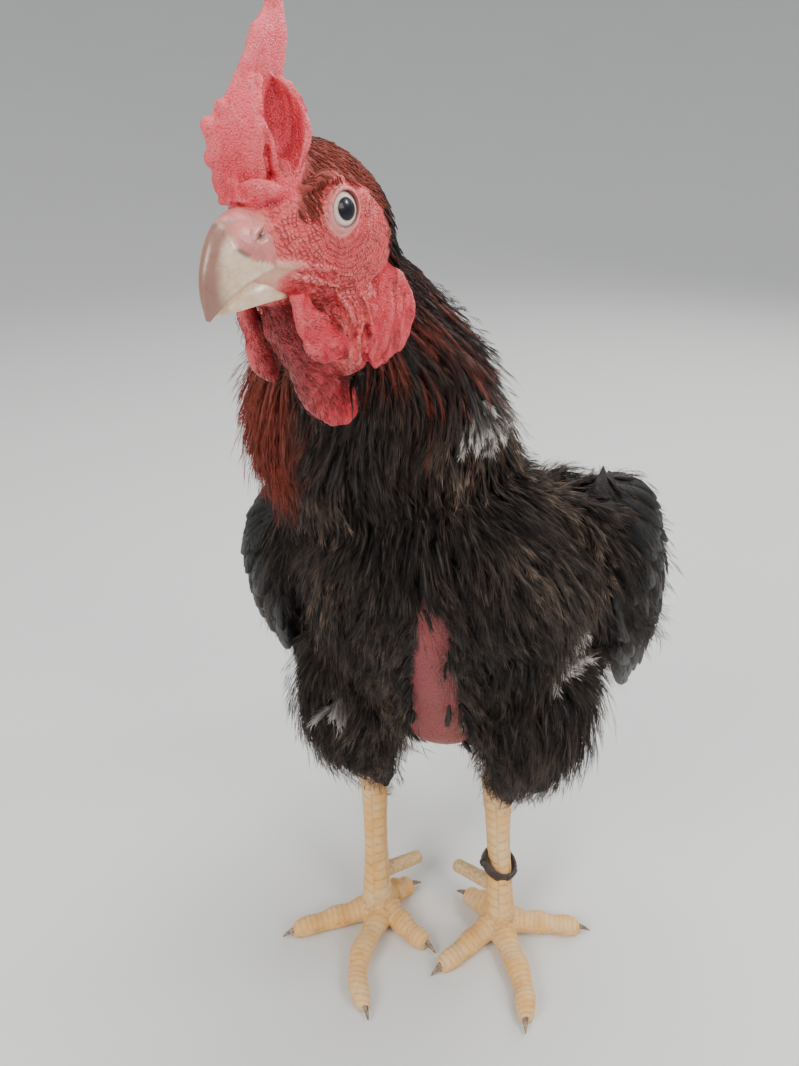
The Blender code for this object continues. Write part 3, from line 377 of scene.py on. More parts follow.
def head(f, l, u):
    """Places on the head from millimetres ahead, left and up."""
    f, l, u = (np.asarray(n, float)[..., None] for n in (f, l, u))
    return HEAD_AT + (AHEAD * f + LEFT * l + UP * u) * MM


def head_coords(points):
    """Millimetres ahead, left and up of places in the frame of the source."""
    offset = (points - HEAD_AT) / MM
    return offset @ AHEAD, offset @ LEFT, offset @ UP


def evenly(count):
    """Even steps from 0 to 1."""
    return np.linspace(0, 1, count)


def circle(count):
    """Even angles once round."""
    return np.linspace(0, 2 * math.pi, count, endpoint=False)


def oval(centre, side, up, wide, rise, drop, count):
    """Rings of points round oval sections that rise and drop by their own amounts."""
    lift = np.sin(circle(count))
    side, up = (np.broadcast_to(np.asarray(n, float), centre.shape)[:, None] for n in (side, up))
    tall = np.where(lift > 0, rise[:, None], drop[:, None]) * lift
    flat = wide[:, None] * np.cos(circle(count))
    return centre[:, None] + side * flat[..., None] + up * tall[..., None]


def grid(rows, count, closed=False):
    """Corners of the cells between rings of points; closed joins the last ring to the first."""
    i, k = np.meshgrid(np.arange(rows - 1 + closed), np.arange(count), indexing="ij")
    j, n = (i + 1) % rows, (k + 1) % count
    return i * count + k, i * count + n, j * count + n, j * count + k


def loft(rings):
    """Vertices and triangles of a closed surface through rings, with a fan over each end."""
    rows, count = rings.shape[:2]
    verts = np.concatenate([rings.reshape(-1, 3), rings[0].mean(0)[None], rings[-1].mean(0)[None]])
    a, b, c, d = grid(rows, count)
    walls = np.stack([np.stack([a, b, c], -1), np.stack([a, c, d], -1)]).reshape(-1, 3)
    k = np.arange(count)
    n, first = (k + 1) % count, (rows - 1) * count
    start = np.stack([n, k, np.full(count, rows * count)], -1)
    end = np.stack([first + k, first + n, np.full(count, rows * count + 1)], -1)
    return verts, np.concatenate([walls, start, end])


def ball(centre, radii, around=40, high=24):
    """An ellipsoid; radii is one number, or one for each of the head's axes."""
    lat = np.linspace(-math.pi / 2 + 0.06, math.pi / 2 - 0.06, high)
    radii = np.broadcast_to(np.asarray(radii, float), (3,))
    middle = centre[None, :] + UP * (radii[2] * np.sin(lat))[:, None]
    return loft(oval(middle, LEFT, AHEAD,
                     radii[1] * np.cos(lat), radii[0] * np.cos(lat), radii[0] * np.cos(lat), around))


def torus(centre, first, second, thick, around=72, sides=14):
    """A ring round two half axes."""
    axis = unit(np.cross(first, second))
    a, b = np.meshgrid(circle(around), circle(sides), indexing="ij")
    out = first * np.cos(a)[..., None] + second * np.sin(a)[..., None]
    verts = centre + out + unit(out) * (thick * np.cos(b))[..., None] + axis * (thick * np.sin(b))[..., None]
    a, b, c, d = (corner.ravel() for corner in grid(around, sides, True))
    return verts.reshape(-1, 3), np.concatenate([np.stack([a, c, b], -1), np.stack([a, d, c], -1)])


def joined(parts):
    """One set of vertices and triangles from several."""
    shift, verts, faces = 0, [], []
    for points, triangles in parts:
        verts.append(points)
        faces.append(triangles + shift)
        shift += len(points)
    return np.concatenate(verts), np.concatenate(faces)


def hashed(cells, seed):
    """A number from -1 to 1 for each whole-number cell."""
    mixed = cells @ np.array((374761393, 668265263, 2246822519)) + seed * 3266489917
    mixed = (mixed ^ (mixed >> 13)) & 0xFFFFFFFF
    mixed = (mixed * 1274126177) & 0xFFFFFFFF
    return ((mixed ^ (mixed >> 16)) & 0xFFFF) / 32767.5 - 1


def noise(points, size, seed=0):
    """Smooth noise from about -1 to 1, with lumps of the given size."""
    scaled = points / size
    cells = np.floor(scaled).astype(np.int64)
    f = scaled - cells
    f = f * f * (3 - 2 * f)
    total = np.zeros(points.shape[:-1])
    for corner in itertools.product((0, 1), repeat=3):
        share = np.prod(np.where(corner, f, 1 - f), axis=-1)
        total += share * hashed(cells + np.array(corner), seed)
    return total


def step(low, high, x):
    """0 below low, 1 above high and smooth between."""
    t = np.clip((x - low) / (high - low), 0, 1)
    return t * t * (3 - 2 * t)


def bell(distance, size):
    return np.exp(-(distance / size) ** 2)


# Meshes in Blender


def alone(thing):
    """Leave only this object selected and active."""
    for other in bpy.context.selected_objects:
        other.select_set(False)
    thing.select_set(True)
    bpy.context.view_layer.objects.active = thing


def new_mesh(name, verts, faces):
    """A mesh object from arrays of vertices and triangles."""
    mesh = bpy.data.meshes.new(name)
    mesh.vertices.add(len(verts))
    mesh.vertices.foreach_set("co", np.ascontiguousarray(verts, np.float32).ravel())
    mesh.loops.add(faces.size)
    mesh.loops.foreach_set("vertex_index", np.ascontiguousarray(faces, np.int32).ravel())
    mesh.polygons.add(len(faces))
    mesh.polygons.foreach_set("loop_start", np.arange(0, faces.size, faces.shape[1], dtype=np.int32))
    mesh.update(calc_edges=True)
    thing = bpy.data.objects.new(name, mesh)
    bpy.context.scene.collection.objects.link(thing)
    return thing


def modify(thing, kind, **settings):
    """Add a modifier with these settings and apply it."""
    alone(thing)
    made = thing.modifiers.new(kind.lower(), kind)
    for key, value in settings.items():
        setattr(made, key, value)
    bpy.ops.object.modifier_apply(modifier=made.name)


def outward(thing):
    """Merge doubles and turn every face outwards."""
    alone(thing)
    bpy.ops.object.mode_set(mode="EDIT")
    bpy.ops.mesh.select_all(action="SELECT")
    bpy.ops.mesh.remove_doubles(threshold=1e-6)
    bpy.ops.mesh.normals_make_consistent(inside=False)
    bpy.ops.object.mode_set(mode="OBJECT")


def fused(name, parts, voxel, rounds):
    """Closed parts joined into one even, smooth surface."""
    thing = new_mesh(name, *joined(parts))
    modify(thing, "REMESH", mode="VOXEL", voxel_size=voxel)
    modify(thing, "SMOOTH", factor=0.5, iterations=rounds)
    return thing


def boolean(thing, operation, other):
    """Join a closed piece with another, or cut it by it, and remove the other."""
    modify(thing, "BOOLEAN", operation=operation, object=other, solver="MANIFOLD")
    bpy.data.objects.remove(other, do_unlink=True)


def read(items, field, width, kind=np.float32):
    """A field of a mesh's items as rows of numbers."""
    flat = np.empty(len(items) * width, kind)
    items.foreach_get(field, flat)
    return flat.reshape(-1, width)


def points_of(thing):
    return read(thing.data.vertices, "co", 3).astype(float)


def normals_of(thing):
    return read(thing.data.vertex_normals, "vector", 3).astype(float)


def reshape(thing, points):
    thing.data.vertices.foreach_set("co", np.ascontiguousarray(points, np.float32).ravel())
    thing.data.update()


def swell(thing, push):
    """Push every vertex out along its normal, in millimetres."""
    reshape(thing, points_of(thing) + normals_of(thing) * (push * MM)[:, None])


def hollows(thing, rounds):
    """How far each vertex lies under its neighbours, in millimetres, smoothed over them."""
    points, normals = points_of(thing), normals_of(thing)
    edges = read(thing.data.edges, "vertices", 2, np.int32)
    both = np.concatenate([edges, edges[:, ::-1]])
    count = np.maximum(np.bincount(both[:, 0], minlength=len(points)), 1)

    def mean(field):
        columns = [np.bincount(both[:, 0], weights=field[both[:, 1], c], minlength=len(points))
                   for c in range(field.shape[1])]
        return np.stack(columns, -1) / count[:, None]

    near = points
    for _ in range(rounds):
        near = mean(near)
    return ((near - points) * normals).sum(-1) / MM


def paint(thing, name, channels):
    """Store up to four numbers a vertex as a colour attribute."""
    data = np.ones((len(thing.data.vertices), 4), np.float32)
    for i, channel in enumerate(channels):
        data[:, i] = channel
    made = thing.data.attributes.new(name, "FLOAT_COLOR", "POINT")
    made.data.foreach_set("color", data.ravel())


def distance_to(part, points, reach):
    """How far each point is from a closed part's surface, up to reach."""
    tree = BVHTree.FromPolygons(part[0].tolist(), part[1].tolist())
    low, high = part[0].min(0) - reach, part[0].max(0) + reach
    near = np.nonzero(((points > low) & (points < high)).all(-1))[0]
    found = np.full(len(points), reach)
    for i in near:
        hit = tree.find_nearest(points[i], reach)
        if hit[3] is not None:
            found[i] = hit[3]
    return found


def home():
    """The move from the source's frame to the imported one, from the left eye's box."""
    low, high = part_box("eye_left")
    return np.array((low + high) / 2) - head(*EYE_AT)


def put(thing, finish_name, slot, *nodes):
    """Move a finished piece home, give it its finish and hide the parts of the source that it stands for."""
    thing.data.transform(Matrix.Translation(home()))
    thing.data.materials.clear()
    thing.data.materials.append(material(finish_name))
    thing.data.shade_smooth()
    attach(thing, BODY)
    if nodes:
        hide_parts(*nodes)


# Forms that the skin is made of


def head_form():
    f, u, wide, rise, drop = along(HEAD_STATIONS, evenly(70)).T
    return loft(oval(head(f, 0 * f, u), LEFT, UP, wide * MM, rise * MM, drop * MM, 80))


def ridge(rows, side, steps=30, count=16):
    f, l, u, thick = along(rows, evenly(steps)).T
    return loft(oval(head(f, side * l, u), LEFT, UP, thick * MM, thick * MM, thick * MM, count))


def lobe(rows, side=1, turn=0, steps=60, count=48, dish=0, crinkle=0, wave=0, seed=0):
    """A hanging fold from rows of f, l, u, half length and half thickness.

    Dish bends its long way into a hollow, crinkle roughens its rim and wave sways it, in millimetres."""
    t = evenly(steps)
    f, l, u, half, thick = along(rows, t).T
    long_way = AHEAD * math.cos(turn) + LEFT * math.sin(turn)
    thin_way = np.cross(UP, long_way)
    rings = oval(head(f, side * l, u), long_way, thin_way,
                 half * MM, thick * MM, thick * MM, count)
    middle = rings.mean(1, keepdims=True)
    across = ((rings - middle) @ long_way) / (half * MM)[:, None]
    rough = noise(rings, 0.0045, seed) + 0.6 * noise(rings, 0.0022, seed + 1)
    rings = rings + long_way * (crinkle * MM * rough * across)[..., None]
    sway = noise(np.stack([across * 0.6, t[:, None] * 3 + 0 * across, 0 * across], -1), 1, seed + 2)
    bend = dish * MM * (across**2 - 0.4) + wave * MM * sway
    outer = thin_way * math.copysign(1, thin_way @ LEFT) * side
    return loft(rings + outer * bend[..., None])


def bill_form(rows, shift, steps=110, count=60):
    """Half an oval over a flat floor: the crown line above and the cutting edge at each side."""
    cf, cu, ef, eu, wide = along(rows, evenly(steps)).T
    crown, edge = head(cf, 0 * cf, cu + shift), head(ef, 0 * ef, eu + shift)
    turn = np.linspace(-math.pi / 2, math.pi / 2, count)
    reach = np.cos(turn)[None, :, None]
    rings = edge[:, None] * (1 - reach) + crown[:, None] * reach
    return loft(rings + LEFT * (wide[:, None] * MM * np.sin(turn)[None, :])[..., None])


def comb_forms():
    """The tall blade, the broad front wall with its knobs, the cup at the left and the roll under them."""
    return [
        lobe(COMB_BLADE, steps=120, count=80, crinkle=0.9, wave=1, seed=3),
        lobe(COMB_WALL, turn=COMB_ACROSS, steps=80, count=64, dish=1.2, crinkle=0.9, wave=0.9, seed=5),
        lobe(COMB_CUP, turn=COMB_ACROSS, steps=80, count=64, dish=3.4, crinkle=0.5, wave=0.5, seed=7),
        ridge(CUP_RIM, 1),
        ridge(COMB_ROLL, 1, 60),
        ridge(COMB_FOLD, 1, 60),
        *(ball(head(f, l, u), size * MM, 20, 12) for f, l, u, size in COMB_KNOBS),
    ]


def hanging_forms():
    """Both wattles and the dewlap."""
    return [
        lobe(WATTLE_LEFT, crinkle=0.8, wave=1, seed=11),
        lobe(WATTLE_RIGHT, crinkle=0.9, wave=1.2, seed=13),
        lobe(DEWLAP, steps=90, count=64, crinkle=0.7, wave=1.2, seed=17),
    ]


def earlobe_forms():
    return [lobe(EARLOBE, sign, -sign * 0.28, steps=80, count=60, dish=1.6, crinkle=0.5, wave=0.8, seed=19)
            for sign in SIGN.values()]


def beside(place, side):
    """A place on the head by f, l and u, or its mirror place on the right."""
    f, l, u = place
    return head(f, SIGN[side] * l, u)


def eye_centre(side):
    return beside(EYEBALL_AT, side)


def eye_aim(side):
    flat = LEFT * (SIGN[side] * math.cos(EYE_AIM)) + AHEAD * math.sin(EYE_AIM)
    return unit(flat * math.cos(EYE_TILT) + UP * math.sin(EYE_TILT))


def eye_axes(side):
    """The two half axes of the eye's opening, square to its aim."""
    back = unit(eye_aim(side) * (eye_aim(side) @ AHEAD) - AHEAD)
    high = np.cross(eye_aim(side), back) * -SIGN[side]
    long_way = unit(back * OPENING_LEAN[0] + high * OPENING_LEAN[1])
    short_way = unit(high * OPENING_LEAN[0] - back * OPENING_LEAN[1])
    return long_way * (OPENING[0] * MM), short_way * (OPENING[1] * MM)


def lid_forms(side):
    """A shell over the eyeball and a thicker rim for its opening."""
    shell = (EYE_RADIUS + LID_SHELL) * MM
    first, second = eye_axes(side)
    rim = math.sqrt(shell**2 - (OPENING[0] * MM) ** 2) + 0.1 * MM
    rim_ring = torus(eye_centre(side) + eye_aim(side) * rim, first * 1.08, second * 1.08, LID_RIM * MM)
    return [ball(eye_centre(side), shell), rim_ring]


def socket_forms(side):
    """What is cut from the skin for one eye: the ball's room and the opening in front of it."""
    first, second = eye_axes(side)
    reach = np.linspace(3, 14, 12) * MM
    wide, high = (np.full(12, np.linalg.norm(n)) * np.linspace(0.93, 1.05, 12) for n in (first, second))
    middle = eye_centre(side) + eye_aim(side) * reach[:, None]
    return [ball(eye_centre(side), (EYE_RADIUS + 0.12) * MM, 64, 40),
            loft(oval(middle, unit(first), unit(second), wide, high, high, 64))]


def path_frames(rows, t):
    """Middles, sides, ups, half widths and half depths of a path at each t."""
    here = along(rows, t)
    rows = np.asarray(rows, float)[:, :3]
    way = along(rows, t + 0.02) - along(rows, t - 0.02)
    up = unit(np.cross((1, 0, 0), way))
    return here[:, :3], unit(np.cross(way, up)), up, here[:, 3], here[:, 4]


def thigh_rows(side):
    rows = THIGH_STATIONS.copy()
    rows[:, 0] = SIGN[side] * rows[:, 0] + THIGH_LEAN * evenly(len(rows))
    return rows


def shoulder_rows(side):
    rows = SHOULDER_STATIONS.copy()
    wrist = np.array(WING_WRIST[side])
    rows[:, :3] = wrist + rows[:, :3] * (SIGN[side], 1, 1)
    return rows


def torso_rows():
    """The torso as a path of x, y, z, half width and mean half depth."""
    y, z, wide, rise, drop = TORSO_STATIONS.T
    middle = np.stack([0 * y, y, z], -1) + BACK_UP * ((rise - drop) / 2)[:, None]
    return np.concatenate([middle, np.stack([wide, (rise + drop) / 2], -1)], -1)


def wing_frame(side):
    wrist, tip = np.array(WING_WRIST[side]), np.array(WING_TIP[side])
    down = unit(tip - wrist)
    out = np.array((WING_OUT[0] * SIGN[side], *WING_OUT[1:]))
    out = unit(out - down * (out @ down))
    return wrist, tip, down, out, unit(np.cross(out, down)) * SIGN[side]


def wing_middle(side, t):
    wrist, tip, down, out, chord = wing_frame(side)
    t = np.asarray(t, float)[..., None]
    return wrist + (tip - wrist) * t + out * (WING_BOW * np.sin(math.pi * t))


def wing_rows(side):
    """The folded wing's flesh as a path."""
    t = np.linspace(0, WING_FLESH_REACH, 9)
    taper = np.sqrt(1 - (t / WING_FLESH_REACH) ** 4)
    wide = along(WING_CHORD, t) * (0.35 + 0.65 * taper)
    deep = along(WING_DEPTH, t) * (0.35 + 0.65 * taper)
    return np.concatenate([wing_middle(side, t), np.stack([wide, deep], -1)], -1)


def tail_axes():
    way = unit(TAIL_TIP - TAIL_ROOT)
    side = np.array((1, 0, 0))
    return way, side, np.cross(side, way)


def tail_middle(t):
    t = np.asarray(t, float)[..., None]
    return TAIL_ROOT + (TAIL_TIP - TAIL_ROOT) * t + tail_axes()[2] * (TAIL_BOW * np.sin(math.pi * t))


def tail_rows():
    t = np.linspace(0, TAIL_FLESH_REACH, 6)
    taper = np.sqrt(1 - (t / TAIL_FLESH_REACH) ** 3)
    wide = along(TAIL_WIDE, t) * (0.4 + 0.6 * taper)
    deep = along(TAIL_DEEP, t) * (0.3 + 0.5 * taper)
    return np.concatenate([tail_middle(t), np.stack([wide, deep], -1)], -1)


def zones():
    """Every feathered form as a path, with the way its feathers lie: 1 from its first row on, -1 back."""
    made = {"torso": (torso_rows(), 1), "neck": (NECK_STATIONS, -1), "tail": (tail_rows(), 1)}
    for side in SIDES:
        for zone, rows in (("thigh_", thigh_rows), ("shoulder_", shoulder_rows), ("wing_", wing_rows)):
            made[zone + side] = (rows(side), 1)
    return made


def thinned(rows, zone):
    """The path's rows with the coat's depth taken off."""
    rows = np.array(rows)
    depth = INSET[zone.split("_")[0]]
    rows[:, 3:5] = np.maximum(rows[:, 3:5] - depth, rows[:, 3:5] * 0.35)
    return rows


def torso_form():
    y, z, wide, rise, drop = along(TORSO_STATIONS, evenly(60)).T
    depth = INSET["torso"]
    wide, rise, drop = (np.maximum(n - depth, n * 0.35) for n in (wide, rise, drop))
    return loft(oval(np.stack([0 * y, y, z], -1), (1, 0, 0), BACK_UP,
                     wide, rise, drop, 72))


def wing_form(side):
    """The flesh of the wing, curled round the body like its feathers."""
    wrist, tip, down, out, chord = wing_frame(side)
    rows = thinned(wing_rows(side), "wing")
    here = along(rows, evenly(40))
    rings = oval(here[:, :3], chord, out, here[:, 3], here[:, 4], here[:, 4] * 0.8, 40)
    across = (rings - here[:, None, :3]) @ chord
    return loft(rings - out * (WING_CURL * (across / 0.045) ** 2)[..., None])


def path_form(rows, steps=60, count=48):
    middle, side, up, wide, deep = path_frames(rows, evenly(steps))
    return loft(oval(middle, side, up, wide, deep, deep, count))


def body_forms():
    forms = [torso_form(), path_form(KEEL_STATIONS)]
    for zone, (rows, way) in zones().items():
        if zone.startswith("wing"):
            forms.append(wing_form(zone.split("_")[1]))
        elif zone != "torso":
            forms.append(path_form(thinned(rows, zone)))
    return forms


def keel(points):
    """How much each point belongs to the bare strip down the middle of the breast."""
    x, y, z = points.T
    half = 0.0056 + 0.0084 * step(0.295, 0.215, z)
    wander = 0.003 * noise(points, 0.012, 41)
    inside = 1 - step(half - 0.002, half + 0.002, np.abs(x - 0.003 + wander))
    return inside * step(0.32, 0.306, z) * step(0.15, 0.175, z) * step(0.01, -0.01, y - (0.29 - z) * 0.9)


def bare_head(points):
    """How much each point belongs to the bare skin of face and throat: 1 bare, 0 feathered."""
    f, l, u = head_coords(points)
    crown = np.interp(f, (-30, -18, -10, -2, 4, 9, 14), (0, 6, 10.5, 13, 9.5, 4, 1))
    crown = crown + 1.5 * noise(points, 0.007, 43) + 1.6 * noise(points, 0.0022, 42)
    behind = -25.5 + 1.5 * noise(points, 0.006, 44)
    below = -60 + 0.9 * np.maximum(0, -8 - f)
    bare = step(crown + 1.6, crown - 1.6, u) * step(behind - 1.6, behind + 1.6, f)
    bare = bare * step(below - 4, below + 2, u)
    edge = 15.4 - 0.23 * (u - 2) + 1.5 * noise(points, 0.005, 45)
    return np.maximum(bare, step(edge - 1.2, edge + 1.2, f))


def build_skin(sizes):
    """One closed skin: a fine head joined to a plainer body under the coat."""
    comb, hanging, lobes = comb_forms(), hanging_forms(), earlobe_forms()
    parts = [head_form(), ball(head(*THROAT_AT), np.array(THROAT_HALF) * MM)]
    for side in SIDES:
        parts += lid_forms(side) + [ridge(rows, SIGN[side]) for rows in (BROW, *LIPS, *JOWL_FOLDS)]
        parts.append(torus(beside(EAR_AT, side), AHEAD * EAR_RING * MM, UP * EAR_RING * MM, EAR_THICK * MM))
        parts.append(ball(beside(JOWL_AT, side), np.array(JOWL_HALF) * MM))
    skin = fused("skin", parts + comb + hanging + lobes, sizes.head_voxel, 3)
    wrinkle(skin, comb, hanging, lobes)
    for side in SIDES:
        for form in socket_forms(side):
            socket = new_mesh("socket", *form)
            outward(socket)
            boolean(skin, "DIFFERENCE", socket)
    boolean(skin, "UNION", fused("body", body_forms(), sizes.body_voxel, 8))
    mark_skin(skin, comb, hanging, lobes)
    return skin


def masks(points, comb, hanging, lobes):
    """How much each point belongs to comb, wattles or dewlap, and earlobes."""
    found = []
    for forms in (comb, hanging, lobes):
        away = distance_to(joined(forms), points, 2.2 * MM)
        found.append(step(2 * MM, 0.7 * MM, away))
    return found


def wrinkle(skin, comb, hanging, lobes):
    """Push the head's skin into lumps, folds and creases."""
    points = points_of(skin)
    on_comb, on_hanging, on_lobe = masks(points, comb, hanging, lobes)
    f, l, u = head_coords(points)
    face = (1 - on_comb) * (1 - on_hanging) * (1 - on_lobe)
    away = round_eye(f, u)[0]
    warp = noise(points, 0.009, 51) * 2.6 + noise(points, 0.004, 52) * 1
    bands = np.sin((away + warp) * 2 * math.pi / 4.2) * step(9, 12, away) * step(34, 20, away)
    below = step(3, -4, u)
    jowl = step(-18, -26, u)
    streak = noise(np.stack([f * 0.9, l * 2, u * 0.35], -1), 2.6, 55)
    slack = noise(np.stack([f + 0.5 * u, l, u * 0.4], -1), 3.4, 63)
    lumps = noise(points, 0.0026, 53) * 0.2 + noise(points, 0.0065, 54) * 0.3
    push = face * (lumps + below * (0.06 + 0.08 * jowl) * bands + 0.55 * jowl * slack)
    out = lid_reach(points)
    push *= 1 - 0.8 * step(1.9, 1.3, out)
    under = step(2, -3, u) * (0.5 + 0.5 * noise(points, 0.004, 64))
    push += (0.15 + 0.45 * under) * (bell(out - 1.36, 0.12) - 1.2 * bell(out - 1.62, 0.08))
    push += 0.3 * bell(out - 1.8, 0.1) * under
    push += on_comb * (0.16 * noise(points, 0.0021, 56) + 0.85 * noise(points, 0.0062, 57) + 0.3 * streak)
    push += on_hanging * (0.2 * noise(points, 0.002, 58) + 0.65 * noise(points, 0.0055, 59) + 0.3 * slack)
    sag = noise(np.stack([f * 0.7, l * 1.2, u * 0.25 + f * 0.2], -1), 2.8, 60)
    crinkled = 1 - np.abs(noise(np.stack([f + 0.4 * u, l, u * 0.6], -1), 4.2, 65)) * 2.4
    push += on_lobe * (0.24 * noise(points, 0.0022, 61) + 1.25 * sag + 0.5 * noise(points, 0.0065, 62)
                       - 0.85 * np.clip(crinkled, 0, 1))
    swell(skin, push)


def round_eye(f, u):
    """Millimetres from the eye's middle and the turn round it, from straight up, 0 to 1."""
    return np.hypot(f + 2, u), np.arctan2(f + 2, -u) / (2 * math.pi) + 0.5


def lid_reach(points):
    """How far points in front of an eyeball lie from its aim, in half axes of the opening; 9 elsewhere."""
    reach = []
    for side in SIDES:
        offset = points - eye_centre(side)
        first, second = eye_axes(side)
        out = np.hypot(offset @ first / (first @ first), offset @ second / (second @ second))
        reach.append(np.where(offset @ eye_aim(side) > 2 * MM, out, 9))
    return np.minimum(*reach)


def mark_skin(skin, comb, hanging, lobes):
    """Store where comb, lobes, coat, lid rims, folds and keel are."""
    points = points_of(skin)
    on_comb, on_hanging, on_lobe = masks(points, comb, hanging, lobes)
    f, l, u = head_coords(points)
    bare = bare_head(points)
    flesh = np.maximum(np.maximum(on_comb, on_hanging), on_lobe)
    crimson = np.maximum(np.maximum(on_hanging, on_lobe), 0.55 * on_comb * step(26, 14, u))
    coat = (1 - np.maximum(bare, flesh)) * (1 - keel(points))
    out = lid_reach(points)
    # rim: a thin band at the edge of the eye's opening, painted dark in the material as shade where lid meets
    # eyeball
    rim, lid = 0.6 * bell(out - 1, 0.08), step(1.7, 1.2, out) * (0.45 + 0.55 * step(4, -2, u))
    # hollow: how far the skin lies under its neighbours; it drives painted shade in hollows and a painted
    # highlight on bumps
    hollow = np.clip(hollows(skin, 12) * 1.6, -1, 1) * 0.5 + 0.5
    away, turn = round_eye(f, u)
    hatch = step(8, 11, away) * step(34, 24, away) * step(6, 0, u) * (1 - flesh)
    mouth = bell(u + 13.4, 2.6) * step(13, 23, f) + 0.9 * bell(u + 20, 6) * step(20, 25, f)
    gape = np.clip(mouth + 0.7 * step(23, 27, f) * step(-13, -10, u), 0, 1) * (1 - flesh)
    throat = bell(l - 1, 8.5) * step(-24, -30, u) * step(-72, -64, u)
    paint(skin, "Flesh", (on_comb, crimson, coat, rim))
    paint(skin, "Fold", (hollow, keel(points), lid, throat))
    paint(skin, "Round", (away / 50, turn, hatch, gape))


# Feather patterns: vertices across (x), along (y) and up (z) in half widths, plus shifts in metres


def spindle(start, end, radius, lift):
    """One barb: a slim closed spindle of six faces from start to end."""
    start, end = np.array(start), np.array(end)
    middle = start * 0.45 + end * 0.55 + (0, 0, lift)
    places = np.array([start, middle, middle, middle, end])
    lean = 0.5 if end[0] > start[0] else -0.5
    shifts = np.zeros((5, 3))
    shifts[1] = (radius, -radius * lean, -radius * 0.5)
    shifts[2] = (-radius, radius * lean, -radius * 0.5)
    shifts[3] = (0, 0, radius * 1.1)
    faces = np.array([(0, 2, 1), (0, 3, 2), (0, 1, 3), (4, 1, 2), (4, 2, 3), (4, 3, 1)])
    return places, shifts, faces


def blade(rows, thick, camber):
    """A closed vane of lens section through rows of (along, half width)."""
    places, shifts = [], []
    for y, w in rows:
        places += [(-w, y, -camber * w * w), (0, y, 0), (w, y, -camber * w * w), (0, y, 0)]
        shifts += [(0, 0, 0), (0, 0, thick), (0, 0, 0), (0, 0, -thick)]
    faces = [(0, 3, 1), (1, 3, 2)]
    for i in range(len(rows) - 1):
        for k in range(4):
            a, b = i * 4 + k, i * 4 + (k + 1) % 4
            faces += [(a, b, b + 4), (a, b + 4, a + 4)]
    last = (len(rows) - 1) * 4
    faces += [(last, last + 1, last + 3), (last + 1, last + 2, last + 3)]
    return np.array(places), np.array(shifts), np.array(faces)


def pattern(rng, vane, thick, camber, barbs, reach, slant, radius, stray, fringe=3):
    """A feather of one vane with loose barbs over its edges and tip."""
    parts = [(*blade(vane, thick, camber), 0)] if vane else []
    for i in range(barbs):
        side = 1 if i % 2 else -1
        y = 0.12 + 0.7 * (i + rng.uniform(-0.3, 0.3)) / barbs
        wide = rng.uniform(*reach) * (1 - 0.45 * max(0, y - 0.55) / 0.45)
        end = (side * wide, y + rng.uniform(*slant), rng.uniform(-0.22, stray))
        parts.append((*spindle((0.04 * side, y, 0.03), end, radius, rng.uniform(0.02, 0.12)), 1))
    for i in range(fringe):
        x = (i - (fringe - 1) / 2) * 0.2 + rng.uniform(-0.06, 0.06)
        end = (x * 1.6, rng.uniform(0.96, 1.1), rng.uniform(-0.15, stray))
        parts.append((*spindle((x * 0.3, 0.66, 0.03), end, radius, 0.04), 1))
    places, faces = joined([part[0:3:2] for part in parts])
    barb = [np.full(len(part[0]), part[3]) for part in parts]
    return places, np.concatenate([part[1] for part in parts]), faces, np.concatenate(barb)


# For each kind of feather: how many patterns, vane rows, vane thickness, camber, barbs, the barbs' reach,
# slant, radius and stray, and the fringe at the tip
KINDS = {
    "plume": (7, ((0, 0.2), (0.28, 0.55), (0.58, 0.62), (0.84, 0.32)), 0.00022, 0.3, 14, (0.6, 1.15),
              (0.22, 0.42), 0.00018, 0.3, 3),
    "hackle": (7, ((0, 0.25), (0.3, 0.7), (0.62, 0.58), (0.86, 0.26)), 0.00018, 0.35, 10, (0.7, 1.3),
               (0.16, 0.34), 0.00015, 0.25, 3),
    "wisp": (6, None, 0, 0, 3, (0.3, 1.1), (0.35, 0.7), 0.0001, 0.4, 2),
    "hair": (6, None, 0, 0, 1, (0.1, 0.5), (0.5, 0.8), 0.00009, 0.3, 1),
    "quill": (4, ((0, 0.25), (0.1, 0.62), (0.25, 0.92), (0.45, 1), (0.65, 0.96), (0.8, 0.82), (0.91, 0.58),
                  (0.98, 0.22)), 0.00034, 0.34, 10, (0.92, 1.08), (0.1, 0.16), 0.00016, -0.15, 4),
}


def patterns_of(kind, rng):
    count, *sizes = KINDS[kind]
    return [pattern(rng, *sizes) for _ in range(count)]


